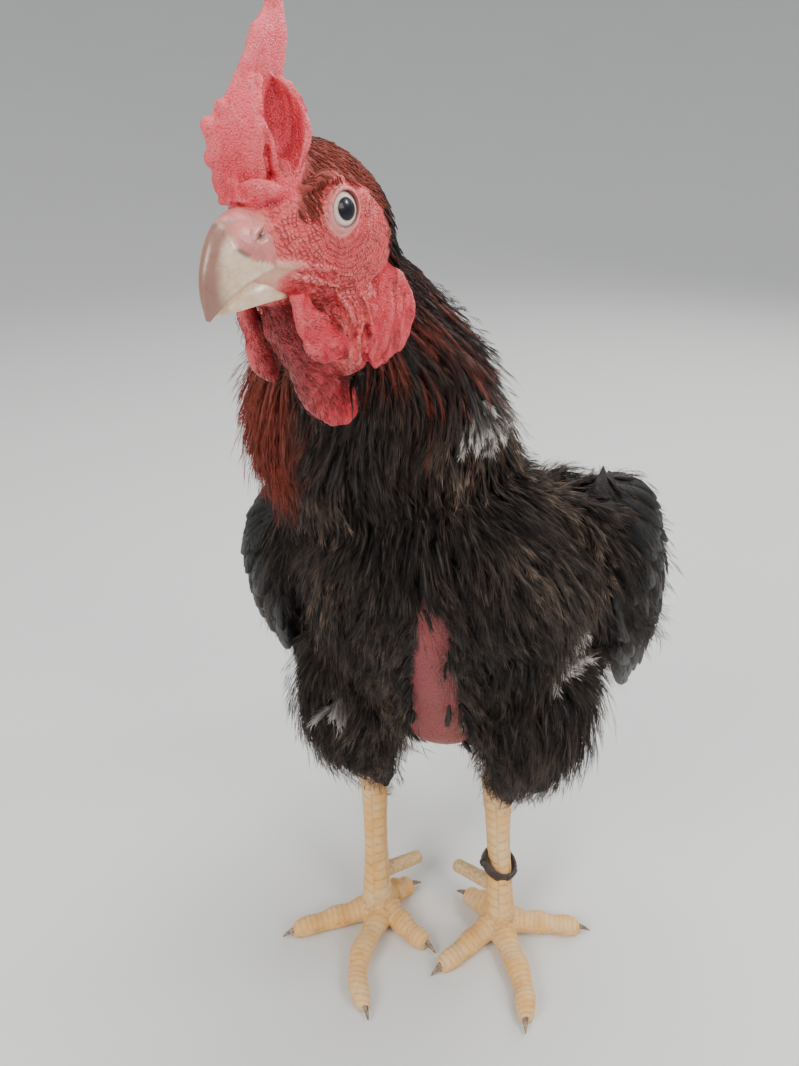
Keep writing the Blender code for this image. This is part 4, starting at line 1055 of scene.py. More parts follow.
def grow(paths, faces_up, halves, roots_uv, marks, patterns, rolls, rng):
    """Feathers of the given patterns along paths, as vertices, triangles, two sets of UVs and marks.

    paths and faces_up hold points and normals at even steps along each feather."""
    steps = paths.shape[1] - 1
    choice = rng.integers(0, len(patterns), len(paths))
    out = []
    for which, (places, shifts, faces, barb) in enumerate(patterns):
        chosen = np.nonzero(choice == which)[0]
        if not len(chosen):
            continue
        line, up = paths[chosen], faces_up[chosen]
        ways = unit(np.gradient(line, axis=1))
        side = unit(np.cross(ways, up))
        up = np.cross(side, ways)
        roll = rolls[chosen][:, None, None]
        side, up = side * np.cos(roll) + up * np.sin(roll), up * np.cos(roll) - side * np.sin(roll)
        spot = np.clip(places[:, 1], 0, None) * steps
        i = np.minimum(spot.astype(int), steps - 1)
        f = (spot - i)[None, :, None]

        def at(field):
            return field[:, i] * (1 - f) + field[:, i + 1] * f

        half = halves[chosen][:, None]
        verts = at(line)
        verts += at(side) * (places[:, 0] * half + shifts[:, 0])[..., None]
        verts += at(ways) * np.broadcast_to(shifts[:, 1], half.shape[:1] + shifts[:, 1].shape)[..., None]
        verts += at(up) * (places[:, 2] * half + shifts[:, 2])[..., None]
        count = len(places)
        triangles = faces[None] + (np.arange(len(chosen)) * count)[:, None, None]
        local = np.stack([places[:, 0] * 0.5 + 0.5, places[:, 1]], -1)
        bake = roots_uv[chosen][:, None] + (local - 0.5)[None] * PATCH
        shade = np.concatenate([
            np.repeat(marks[chosen][:, None], count, 1),
            np.broadcast_to(barb[None, :, None], (len(chosen), count, 1)),
        ], -1)
        vane = np.broadcast_to(local[None], bake.shape)
        out.append((verts.reshape(-1, 3), triangles.reshape(-1, 3), bake.reshape(-1, 2), vane.reshape(-1, 2),
                    shade.reshape(-1, 4)))
    return gathered(out)


def gathered(made):
    """Several grown sets of feathers as one."""
    return (*joined([m[:2] for m in made]), *(np.concatenate([m[k] for m in made]) for k in (2, 3, 4)))


def plumage(name, grown, finish_name, slot, *nodes):
    """A coat piece with its bake map, its vane map and its marks."""
    verts, faces, bake, vane, shade = grown
    thing = new_mesh(name, verts, faces)
    for label, uvs in (("OFBake", bake), ("Vane", vane)):
        layer = thing.data.uv_layers.new(name=label)
        layer.uv.foreach_set("vector", np.ascontiguousarray(uvs[faces.ravel()], np.float32).ravel())
    paint(thing, "Mark", shade.T)
    put(thing, finish_name, slot, *nodes)


# The coat's lie over the skin


class Coat:
    """The skin as a surface to root feathers on, with zones, lie and markings."""

    def __init__(self, skin, density):
        self.density = density
        self.points = points_of(skin) - home()
        skin.data.calc_loop_triangles()
        self.faces = read(skin.data.loop_triangles, "vertices", 3, np.int32)
        self.tree = BVHTree.FromPolygons(self.points.tolist(), self.faces.tolist())
        self.zones = {zone: (thinned(rows, zone), way) for zone, (rows, way) in zones().items()}
        a, b, c = (self.points[self.faces[:, k]] for k in range(3))
        cross = np.cross(b - a, c - a)
        self.areas, self.outward = np.linalg.norm(cross, axis=-1) / 2, unit(cross)
        self.middles = (a + b + c) / 3
        flesh = read(skin.data.attributes["Flesh"].data, "color", 4)
        comb, lobes, feathered, rim = flesh[self.faces].mean(1).T
        self.flesh, self.feathered = np.maximum(comb, lobes), feathered
        self.hanging = distance_to(joined(hanging_forms() + earlobe_forms()), self.middles, 0.007)
        low = self.middles[:, 2] < 0.47
        shares = np.stack([share for share, *rest in self.zone_shares(self.middles[low]).values()])
        self.owner = np.full(len(self.faces), list(self.zones).index("neck"))
        self.owner[low] = shares.argmax(0)

    def scatter(self, spacing, odds, rng):
        """Roots about spacing apart in a full coat, over each face by its odds."""
        spacing = spacing / math.sqrt(self.density)
        share = self.areas * (odds > 0)
        pick = rng.choice(len(share), int(share.sum() / spacing**2 * 3), p=share / share.sum())
        a, b, c = (self.points[self.faces[pick, k]] for k in range(3))
        r, s = rng.random((2, len(pick), 1))
        flip = r + s > 1
        r, s = np.where(flip, 1 - r, r), np.where(flip, 1 - s, s)
        spots = a + (b - a) * r + (c - a) * s
        cells = np.floor(spots / spacing).astype(np.int64)
        keys = hashed(cells, 7) * 1e6 + cells[:, 0] * 31 + cells[:, 1] * 17 + cells[:, 2]
        _, first = np.unique(keys, return_index=True)
        first = first[odds[pick[first]] > rng.random(len(first))]
        return spots[first], self.outward[pick[first]]

    def zone_shares(self, points):
        """For each zone: how much points belong to it, its path place, turn and way of lie."""
        found = {}
        for zone, (rows, way) in self.zones.items():
            t = evenly(50)
            middle, side, up, wide, deep = path_frames(rows, t)
            near = np.zeros(len(points), int)
            best = np.full(len(points), np.inf)
            for k in range(len(t)):
                offset = points - middle[k]
                ratio = ((offset @ side[k] / wide[k]) ** 2 + (offset @ up[k] / deep[k]) ** 2
                         + (offset @ np.cross(side[k], up[k]) / 0.006) ** 2)
                better = ratio < best
                best[better], near[better] = ratio[better], k
            offset = points - middle[near]
            across = (offset * side[near]).sum(-1) / wide[near]
            above = (offset * up[near]).sum(-1) / deep[near]
            ahead = unit(np.gradient(middle, axis=0))[near] * way
            share = np.exp(-np.abs(np.sqrt(best) - 1) / 0.1) + 1e-6
            found[zone] = (share, t[near], np.arctan2(above, across), ahead)
        return found

    def lie(self, points, normals):
        """The way that feathers point at each place, along the skin."""
        total = np.zeros_like(points)
        for share, t, turn, ahead in self.zone_shares(points).values():
            total += ahead * share[:, None] ** 2
        total = unit(total)
        x, y, z = points.T
        front = step(0.02, -0.04, y) * step(0.44, 0.4, z)
        spreading = np.tanh((x - 0.003) / 0.006) * bell(x - 0.003, 0.03) * step(0.305, 0.285, z) * front
        total = total + front[:, None] * np.array((0, -0.25, -0.9))
        total[:, 0] += 0.5 * spreading
        on_head = step(0.462, 0.476, z)[:, None]
        total = total * (1 - on_head) + on_head * (-AHEAD * 0.75 - UP * 0.65)
        flat = unit(total - normals * (total * normals).sum(-1)[:, None])
        turn = 0.5 * noise(points, 0.022, 71) + 0.4 * noise(points, 0.009, 72)
        side = np.cross(normals, flat)
        return flat * np.cos(turn)[:, None] + side * np.sin(turn)[:, None]

    def bake_places(self, points):
        """Each root's place on an unwrap of the zones, side by side."""
        found = self.zone_shares(points)
        shares = np.stack([share for share, *rest in found.values()])
        which = shares.argmax(0)
        places = np.zeros((len(points), 2))
        for i, (share, t, turn, ahead) in enumerate(found.values()):
            mine = which == i
            tile = np.array((i % 3, i // 3)) / 3
            spot = np.stack([turn[mine] / (2 * math.pi) + 0.5, t[mine]], -1)
            places[mine] = tile + 0.01 + spot * 0.31
        return places

    def walk(self, roots, normals, lengths, steps, turn, rise):
        """Carry each feather over the skin in even steps; rise is its height along it, in metres."""
        spots, ups = [roots], [normals]
        ways = self.lie(roots, normals)
        side = np.cross(normals, ways)
        ways = ways * np.cos(turn)[:, None] + side * np.sin(turn)[:, None]
        for _ in range(steps):
            ahead = spots[-1] + ways * (lengths / steps)[:, None]
            near, up = np.empty_like(ahead), np.empty_like(ahead)
            for i, place in enumerate(ahead):
                hit = self.tree.find_nearest(place)
                near[i], up[i] = hit[0], hit[1]
            up = unit(ups[-1] * 0.55 + up * 0.45)
            ways = unit(near - spots[-1])
            onward = self.lie(near, up)
            ways = unit(ways * 0.6 + onward * 0.4)
            ways = unit(ways - up * (ways * up).sum(-1)[:, None])
            spots.append(near)
            ups.append(up)
        spots, ups = np.stack(spots, 1), np.stack(ups, 1)
        return spots + ups * rise[..., None], ups


def spots_mask(points, places):
    """How close points are to any of the places, each x, y, z and size in metres."""
    found = np.zeros(len(points))
    for x, y, z, size in places:
        found = np.maximum(found, bell(np.linalg.norm(points - (x, y, z), axis=-1), size))
    return found


# Coloured places on the coat: x, y, z and size
FROST = np.array(((16, -72, 400, 8), (23, -60, 393, 9), (26, -46, 396, 10))) * MM
PALE = np.array(((60, -31, 252, 8), (70, -26, 276, 8), (-53, -48, 218, 6))) * MM
TUFT = np.array((
    (4, -83, 391, 9), (16, -68, 381, 11), (29, -42, 376, 13), (10, -72, 373, 10), (42, -72, 330, 10),
    (55, -62, 309, 12), (69, -30, 288, 12), (78, -18, 306, 11), (66, -25, 258, 13), (49, -29, 343, 11),
    (66, -22, 333, 7), (-55, -75, 358, 8), (-44, -78, 357, 7), (-45, -72, 308, 9), (-52, -65, 312, 8),
    (-22, -74, 274, 8), (-22, -49, 231, 10), (-33, -38, 214, 10), (15, -61, 237, 7), (25, -29, 201, 10),
    (62, -28, 200, 10), (70, -10, 190, 10),
)) * MM
GLEAM = np.array(((37, -67, 347, 15), (-10, -85, 345, 15), (40, -55, 270, 14))) * MM
ORANGE = np.array((
    (-3, -98, 441, 9), (4, -90, 434, 9), (15, -71, 419, 9),
    (-12, -103, 424, 9), (-1, -92, 407, 8), (14, -80, 445, 10),
)) * MM


def rusty(points, rng):
    """Red-brown share: the crown, the fall of hackles on the right and stray tips on the left."""
    x, y, z = points.T
    f, l, u = head_coords(points)
    crown = step(-10, 0, u) * step(-34, -22, f) * (1 - 0.6 * step(9, 3, np.abs(l)) * step(14, 18, u))
    fall = step(-0.07, -0.082, x + 0.35 * (y + 0.04) + 0.004 * noise(points, 0.01, 82)) * step(0.33, 0.345, z)
    tips = spots_mask(points, ORANGE) * (rng.random(len(points)) < 0.55)
    stray = (rng.random(len(points)) < 0.06) * step(0.36, 0.39, z)
    return np.clip(crown * 0.9 + fall * 0.9 + tips * 0.8 + stray * 0.6 + 0.08 * step(0.43, 0.46, z), 0, 1)


def marks_at(points, rng):
    """Rust, frost and tone of feathers whose visible parts are at points."""
    frost = 0.45 * spots_mask(points, np.concatenate([FROST, PALE])) * rng.uniform(0, 1, len(points))
    tone = 0.04 + 0.12 * noise(points, 0.014, 83) + rng.uniform(-0.12, 0.16, len(points))
    tone += 0.9 * spots_mask(points, TUFT) - 0.2 * spots_mask(points, GLEAM)
    return np.stack([rusty(points, rng), np.clip(frost, 0, 1), np.clip(tone, 0, 1)], -1)


# The coat's sizes by zone: root spacing, length, half width and height of the tip over the skin
COAT = {
    "neck": (0.005, 0.036, 0.0028, 0.0088),
    "torso": (0.0062, 0.026, 0.0048, 0.0066),
    "thigh": (0.006, 0.021, 0.0044, 0.0052),
    "shoulder": (0.0066, 0.028, 0.0052, 0.007),
    "wing": (0.007, 0.03, 0.0054, 0.005),
    "tail": (0.008, 0.034, 0.0064, 0.006),
}
WALK_STEPS = 4


def laid(coat, roots, normals, lengths, halves, heights, mark, shapes, steps, stray, rng, power=0.85,
         clump=0.45):
    """Feathers walked over the skin from their roots.

    Mark gives their marks by place; clump is how far neighbours lift and turn together."""
    y = evenly(steps + 1)
    heights = heights * (1 + clump * noise(roots, 0.011, 86))
    turns = stray * (3.3 * clump * noise(roots, 0.016, 84) + rng.uniform(-0.5, 0.5, len(roots)))
    rise = heights[:, None] * y**power - np.minimum(0.001, heights[:, None] * 0.3)
    paths, ups = coat.walk(roots, normals, lengths, steps, turns, rise)
    return grow(paths, ups, halves, coat.bake_places(roots), mark(paths[:, -2]), shapes,
                rng.uniform(-stray, stray, len(roots)), rng)


def flank_share(points):
    """The ruffled flank below the left wing."""
    x, y, z = points.T
    return step(0.04, 0.056, x) * step(0.345, 0.32, z) * step(0.185, 0.205, z) * step(0.05, 0.02, y)


def zone_feathers(coat, zone, rng):
    """Body feathers over one zone of the skin."""
    spacing, length, half, height = COAT[zone.split("_")[0]]
    mine = coat.owner == list(coat.zones).index(zone)
    f, l, u = head_coords(coat.middles)
    odds = mine * coat.feathered * (u < -32) * step(0.003, 0.0065, coat.hanging)
    if zone.startswith("wing"):
        odds = odds * (coat.outward @ wing_frame(zone.split("_")[1])[2] > -0.45)
    roots, normals = coat.scatter(spacing, odds, rng)
    x, y, z = roots.T
    slim = np.ones(len(roots))
    if zone == "neck":
        slim = 1 - 0.6 * step(0.425, 0.47, z)
    if zone.startswith("thigh"):
        slim = 1 - 0.66 * step(0.16, 0.108, z)
    if zone == "torso":
        slim = 1 - 0.62 * bell(x - 0.003, 0.022) * step(0.345, 0.305, z) * step(0.03, 0, y)
    lengths = length * slim * rng.uniform(0.72, 1.18, len(roots)) * (1 + 0.35 * flank_share(roots))
    halves = half * (0.5 + 0.5 * slim if zone == "neck" else slim) * rng.uniform(0.75, 1.15, len(roots))
    ruffle = 1 + 0.6 * np.clip(noise(roots, 0.02, 91), 0, 1) + 0.4 * spots_mask(roots, TUFT)
    heights = height * (1 if zone == "torso" else slim) * rng.uniform(0.6, 1.15, len(roots)) * ruffle
    heights = heights + 0.006 * flank_share(roots)
    shapes = patterns_of("hackle" if zone == "neck" else "plume", rng)
    stray, clump = (0.16, 0.2) if zone == "neck" else (0.4, 0.5)
    return laid(coat, roots, normals, lengths, halves, heights, lambda spots: marks_at(spots, rng), shapes,
                WALK_STEPS, stray, rng, clump=clump)


def stray_feathers(coat, rng):
    """Loose hair-like plumes that lie over the body, neck and thighs."""
    inner = [i for i, zone in enumerate(coat.zones) if not zone.startswith(("wing", "tail"))]
    f, l, u = head_coords(coat.middles)
    odds = np.isin(coat.owner, inner) * coat.feathered * (u < -34) * (coat.hanging > 0.0065)
    roots, normals = coat.scatter(0.0044, odds, rng)
    z = roots[:, 2]
    small = 1 - 0.55 * step(0.43, 0.47, z) - 0.35 * step(0.16, 0.1, z)
    lengths = 0.027 * small * rng.uniform(0.5, 1.3, len(roots)) * (1 + 0.4 * flank_share(roots))
    heights = 0.0105 * small * rng.uniform(0.7, 1.25, len(roots)) + 0.006 * flank_share(roots)

    def mark(spots):
        marks = marks_at(spots, rng)
        marks[:, 2] = np.clip(marks[:, 2] + np.maximum(0, rng.uniform(-0.25, 0.45, len(spots))), 0, 1)
        return marks

    return laid(coat, roots, normals, lengths, np.full(len(roots), 0.0026), heights, mark,
                patterns_of("wisp", rng), WALK_STEPS, 0.5, rng, 0.7)


def down_tufts(coat, rng):
    """Rosettes of pale and brown down that stand out of the coat on neck, breast, flank and thighs."""
    made = []
    for places, least, most, spacing, length, half, pale in (
            (FROST, 0.45, 0.8, 0.0022, 0.0115, 0.0026, 1), (PALE, 0.3, 0.7, 0.0019, 0.015, 0.0036, 1),
            (TUFT, 0.35, 0.9, 0.0036, 0.017, 0.003, 0)):
        odds = coat.feathered * step(least, most, spots_mask(coat.middles, places))
        roots, normals = coat.scatter(spacing, odds, rng)
        lengths = length * rng.uniform(0.6, 1.3, len(roots))

        def mark(spots):
            shares = rng.uniform(0.35, 1.2, len(spots))
            return np.clip(np.stack([0 * shares, pale * shares, shares * (1 - 0.5 * pale)], -1), 0, 1)

        shapes = [] if pale else patterns_of("wisp", rng)
        shapes += patterns_of("plume", rng)[:None if pale else 3]
        heights = lengths * rng.uniform(0.55, 0.9, len(roots))
        made.append(laid(coat, roots, normals, lengths, np.full(len(roots), half), heights, mark, shapes,
                         WALK_STEPS, 0.9, rng, 0.6))
    return gathered(made)


def crown_feathers(coat, rng):
    """Short feathers over the crown, the ear and the back of the head."""
    f, l, u = head_coords(coat.middles)
    brow = (f > 8) & (u > 5) & (l < 9.5)
    near = (u > -36) * (f < 17) * (coat.hanging > 0.0025) * (coat.flesh < 0.3) * ~brow
    roots, normals = coat.scatter(0.0017, near * coat.feathered, rng)
    f, l, u = head_coords(roots)
    ear = bell(np.hypot(f + 29, u + 8), 7)
    back = step(-8, -34, f)
    lengths = (0.0048 + 0.0052 * back + 0.006 * ear) * rng.uniform(0.8, 1.2, len(roots))
    halves = (0.0004 + 0.0008 * back + 0.0004 * ear) * rng.uniform(0.8, 1.2, len(roots))
    heights = (0.0006 + 0.0011 * back + 0.0042 * ear) * rng.uniform(0.6, 1.2, len(roots))

    def mark(spots):
        marks = marks_at(spots, rng)
        marks[:, 0] *= (1 - 0.95 * ear) * rng.uniform(0.7, 1.1, len(spots))
        marks[:, 2] *= 0.4
        return marks

    return laid(coat, roots, normals, lengths, halves, heights, mark, patterns_of("hackle", rng), 3, 0.3, rng)


def bristles(coat, rng):
    """Hairs on throat and cheeks and at the sides of the bare keel."""
    f, l, u = head_coords(coat.middles)
    head_skin = (coat.middles[:, 2] > 0.4) * (1 - coat.feathered)
    throat = head_skin * step(-20, -30, u) * step(-74, -66, u) * bell(l - 1, 12) * (f < 22)
    cheek = head_skin * (1 - coat.flesh) * (0.1 + 0.5 * step(-16, -26, u)) * (u < 2) * (f < 20)
    bare = keel(coat.middles)
    edge = ((bare > 0.02) & (bare < 0.9)) * 0.9 + 0.12 * (bare >= 0.9)
    made = []
    for spacing, length, rust, tone, odds in (
            (0.0014, 0.0075, 0.3, 0.2, throat), (0.0022, 0.0035, 0.45, 0.1, cheek),
            (0.003, 0.01, 0, 0.9, edge)):
        roots, normals = coat.scatter(spacing, odds, rng)
        lengths = length * rng.uniform(0.5, 1.3, len(roots))

        def mark(spots):
            tones = np.clip(tone + rng.uniform(-0.2, 0.4, len(spots)), 0, 1)
            return np.stack([np.full(len(spots), rust), 0 * tones, tones], -1)

        heights = lengths * rng.uniform(0.1, 0.35, len(roots))
        made.append(laid(coat, roots, normals, lengths, np.full(len(roots), 0.001), heights, mark,
                         patterns_of("hair", rng), 2, 0.6, rng))
    return gathered(made)


# Wings and tail: quills in tiers over a guide surface. A tier: count, root and tip along the form at
# one side, root and tip at the other, span from and to, half width and lifts of root, middle and tip

WING_TIERS = (
    (15, 0.5, 1, 0.44, 0.88, -0.8, 0.24, 0.0074, (-0.0035, -0.0014, 0)),
    (17, 0.4, 0.85, 0.28, 0.71, -0.78, 0.92, 0.0078, (-0.004, 0.0002, 0.0016)),
    (17, 0.26, 0.64, 0.22, 0.57, -0.8, 0.88, 0.0074, (-0.0045, 0.0012, 0.003)),
    (17, 0.17, 0.48, 0.14, 0.42, -0.8, 0.84, 0.007, (-0.0045, 0.002, 0.004)),
    (15, 0.14, 0.35, 0.1, 0.3, -0.6, 0.8, 0.0066, (-0.0045, 0.0024, 0.0048)),
    (13, 0.06, 0.26, 0.05, 0.22, -0.28, 0.72, 0.0062, (-0.0055, 0.0018, 0.005)),
)
TAIL_TIERS = (
    (14, 0.24, 1, 0.24, 0.8, -0.92, 0.92, 0.0088, (-0.004, -0.0008, 0)),
    (12, 0.14, 0.78, 0.14, 0.6, -0.88, 0.88, 0.008, (-0.004, 0.0006, 0.0026)),
    (10, 0.06, 0.58, 0.06, 0.44, -0.82, 0.82, 0.0076, (-0.004, 0.0018, 0.0046)),
    (9, 0, 0.4, 0, 0.3, -0.76, 0.76, 0.0072, (-0.0035, 0.003, 0.0062)),
    (8, -0.04, 0.24, -0.04, 0.18, -0.7, 0.7, 0.0068, (-0.0035, 0.0036, 0.007)),
)
QUILL_STEPS = 7


def wing_place(side):
    """A function from place along and across to the outer face of the folded wing."""
    wrist, tip, down, out, chord = wing_frame(side)

    def place(t, b):
        half, deep = along(WING_CHORD, t), along(WING_DEPTH, t)
        rise = deep * np.sqrt(np.maximum(0, 1 - b * b)) - WING_CURL * (half * b / 0.045) ** 2
        spot = wing_middle(side, t) + down * (np.minimum(t, 0) * np.linalg.norm(tip - wrist))[..., None]
        return spot + chord * (half * b)[..., None] + out * rise[..., None]

    return place, out


def tail_place():
    way, side, up = tail_axes()

    def place(t, b):
        wide, deep = along(TAIL_WIDE, t), along(TAIL_DEEP, t)
        rise = deep * np.sqrt(np.maximum(0, 1 - b * b)) - TAIL_TENT * (wide * b / 0.034) ** 2
        return tail_middle(t) + side * (wide * b)[..., None] + up * rise[..., None]

    return place, up


def quills(place, out, tiers, tile, roll, rng, loose):
    """Rows of quills over a guide surface; loose scatters their tips."""
    paths, ups, halves, uvs, rolls, marks = [], [], [], [], [], []
    f = evenly(QUILL_STEPS)
    for tier, (count, root_a, tip_a, root_b, tip_b, start, end, half, lifts) in enumerate(tiers):
        u = (np.arange(count) + rng.uniform(-0.2, 0.2, count)) / (count - 1)
        b = start + (end - start) * u
        low = root_a + (root_b - root_a) * u
        high = tip_a + (tip_b - tip_a) * u
        if tiers is TAIL_TIERS:
            high = tip_b + (tip_a - tip_b) * (1 - b * b)
        high = np.minimum(high * rng.uniform(1 - 0.04 - loose * 0.3, 1.01, count), 1)
        sway = b + rng.uniform(-loose, loose, count) * (0.4 if tier < 2 else 1)
        t = low[:, None] + (high - low)[:, None] * f
        across = (b * 0.94)[:, None] + (sway - b * 0.94)[:, None] * f
        s = 0.01
        normal = unit(np.cross(place(t + s, across) - place(t - s, across),
                               place(t, across + s) - place(t, across - s)))
        normal *= np.where((normal @ out) < 0, -1, 1)[..., None]
        raised = rng.uniform(-0.0004, 0.0012 + loose * 0.01, count)[:, None] * f
        lift = along(lifts, np.broadcast_to(f, t.shape)) + raised
        paths.append(place(t, across) + normal * lift[..., None])
        ups.append(normal)
        halves.append(np.full(count, half) * rng.uniform(0.9, 1.12, count))
        spot = np.stack([np.clip(b * 0.5 + 0.5, 0, 1), np.clip(low, 0, 1)], -1)
        uvs.append(0.3 * spot + tile)
        rolls.append(roll(b))
        tone = rng.uniform(0, 0.3, count) + 0.1 * (tier > 2)
        marks.append(np.stack([0 * tone, 0 * tone, tone], -1))
    return grow(*(np.concatenate(n) for n in (paths, ups, halves, uvs, marks)), patterns_of("quill", rng),
                np.concatenate(rolls), rng)


# Legs, claws, bill, eyes and band


def shank_middle(side, t):
    foot = np.array((*FEET[side]["ankle"], SHANK_FOOT))
    return foot + (np.array(HOCKS[side]) - foot) * np.asarray(t, float)[..., None]


def toe_line(side, name):
    """Start, direction, side way, bow, length up to the claw and full length of a toe."""
    base, tip, bow = FEET[side][name]
    start, end = np.array((*base, 0)), np.array((*tip, 0))
    way, reach = unit(end - start), np.linalg.norm(end - start)
    return start, way, np.array((way[1], -way[0], 0)), bow, reach - CLAW_LENGTH * 0.72, reach


def toe_form(side, name, steps=60, count=30):
    start, way, across, bow, length, reach = toe_line(side, name)
    t = evenly(steps)
    swelling = 1 + 0.07 * np.cos(2 * math.pi * t * 2.5)
    close = np.sqrt(np.clip(1 - ((t - 0.93) / 0.09) ** 2, 0.1, 1)) * (t > 0.93) + (t <= 0.93)
    half = (TOE_HALF[0] + (TOE_HALF[1] - TOE_HALF[0]) * t) * swelling * close
    top = (TOE_TOP[0] + (TOE_TOP[1] - TOE_TOP[0]) * t) * swelling + TOES[name] * (1 - t)
    top = top * (0.4 + 0.6 * close)
    sway = across * (bow * np.sin(math.pi * length * t / reach))[:, None]
    middle = start + way * (length * t)[:, None] * 1.03 + sway
    rings = middle[:, None] + across * (half[:, None] * np.cos(circle(count)))[..., None]
    rings[..., 2] = np.maximum(top[:, None] * 0.5 + top[:, None] * 0.56 * np.sin(circle(count)), 0.0002)
    return loft(rings)


def leg_forms(side):
    t = evenly(50)
    radii = along(SHANK_RADII, t)
    flat, ahead = (1, 0, 0), (0, 1, 0)
    shank = loft(oval(shank_middle(side, t), flat, ahead, radii[:, 0], radii[:, 1], radii[:, 1], 48))
    x, y = FEET[side]["ankle"]
    shift, z, wide, back, front = HEEL.T
    heel = loft(oval(np.stack([x + 0 * z, y + shift, z], -1), flat, ahead, wide, back, front, 40))
    lat = np.linspace(-1.45, 1.45, 24)
    pad_middle = np.stack([x + 0 * lat, y + PAD_AT[0] + 0 * lat, PAD_AT[1] + PAD_HALF[2] * np.sin(lat)], -1)
    pad_middle[:, 2] = np.maximum(pad_middle[:, 2], 0.0002)
    around = PAD_HALF[0] * np.cos(lat)
    pad = loft(oval(pad_middle, flat, ahead, around, around, around, 40))
    return [shank, heel, pad, *(toe_form(side, name) for name in TOES)]


TOE_SCUTES = {"mid": 17, "outer": 13, "inner": 11, "hallux": 7}
SHANK_SCUTES = 15


def build_leg(side, voxel):
    """Shank and foot in one skin, scuted down the front and over the toes."""
    leg = fused("leg_" + side, leg_forms(side), voxel, 3)
    points, normals = points_of(leg), normals_of(leg)
    raised, groove, plate = np.zeros(len(points)), np.zeros(len(points)), np.zeros(len(points))
    best = np.full(len(points), np.inf)
    for name, count in TOE_SCUTES.items():
        start, way, across, bow, length, reach = toe_line(side, name)
        offset = points - start
        t = np.clip(offset @ way / length, 0, 1.05)
        away = offset @ across - bow * np.sin(math.pi * length * np.clip(t, 0, 1) / reach)
        away = np.hypot(away, np.maximum(0, (offset @ way) / length - 1) * length)
        mine = (np.abs(away) < best) & (offset @ way > -0.002) & (points[:, 2] < 0.024)
        best[mine] = np.abs(away[mine])
        saw = (t * count + 0.18 * noise(points, 0.01, 97)) % 1
        top = step(0.15, 0.55, normals[:, 2]) * step(0, 0.06, t)
        raised[mine] = (top * (0.75 * saw**0.8 + 0.1))[mine]
        groove[mine] = (top * bell(np.minimum(saw, 1 - saw), 0.13))[mine]
        plate[mine] = top[mine]
    on_shank = step(0.019, 0.026, points[:, 2])
    h = (points[:, 2] - SHANK_FOOT) / (HOCKS[side][2] - SHANK_FOOT)
    offset = points - shank_middle(side, h)
    turn = np.arctan2(offset[:, 0], -offset[:, 1])
    column = turn > 0.05 * noise(points, 0.006, 98)
    saw = (-h * SHANK_SCUTES + 0.5 * column + 0.12 * noise(points, 0.01, 99)) % 1
    front = step(1.25, 0.95, np.abs(turn))
    line = np.maximum(bell(np.minimum(saw, 1 - saw), 0.13), bell(turn, 0.07))
    line = np.maximum(line, bell(np.abs(turn) - 1.1, 0.09))
    raised = raised * (1 - on_shank) + on_shank * front * (0.75 * saw**0.8 + 0.1)
    groove = groove * (1 - on_shank) + on_shank * step(1.35, 1.2, np.abs(turn)) * line
    plate = plate * (1 - on_shank) + on_shank * front
    push = 0.42 * raised - 0.32 * groove
    push += 0.18 * noise(points, 0.0035, 100) + 0.1 * noise(points, 0.0018, 101)
    points = points + normals * (push * MM * step(0, 0.002, points[:, 2]))[:, None]
    points[:, 2] = np.maximum(points[:, 2], 0)
    reshape(leg, points)
    paint(leg, "Scale", (groove, plate, step(0.088, 0.1, points[:, 2])))
    return leg


def claw_form(side, name):
    start, way, across, bow, length, reach = toe_line(side, name)
    end = start + way * reach
    root = end - way * CLAW_LENGTH + across * (bow * 0.42)
    way = unit(end - root)
    t = evenly(30)
    middle = root + way * (CLAW_LENGTH * t)[:, None]
    middle[:, 2] = CLAW_HIGH[0] + (CLAW_HIGH[1] - CLAW_HIGH[0]) * t * t
    thick = CLAW_THICK * (1 - t) ** 0.7 + 0.0004
    return loft(oval(middle, across, (0, 0, 1), thick * 0.8, thick, thick * 0.6, 24))


def shank_at(side, height):
    """The shank's middle at a height, which may be an array."""
    return shank_middle(side, (height - SHANK_FOOT) / (HOCKS[side][2] - SHANK_FOOT))


def spur_form(side):
    start = shank_at(side, SPUR_HEIGHT)
    end = np.array((*FEET[side]["spur"], SPUR_HEIGHT - 0.004))
    way = unit(end - start)
    across = unit(np.cross(way, (0, 0, 1)))
    u = evenly(30)
    thick = along(SPUR_THICK, u) * (1 - 0.3 * step(0.94, 1, u) ** 2)
    return loft(oval(start + (end - start) * u[:, None], across, np.cross(across, way),
                     thick, thick, thick, 28))


def build_horny(name, form, roughness):
    """A claw or spur with a finely roughened surface."""
    thing = new_mesh(name, *form)
    outward(thing)
    swell(thing, roughness * noise(points_of(thing), 0.0012, 103))
    return thing


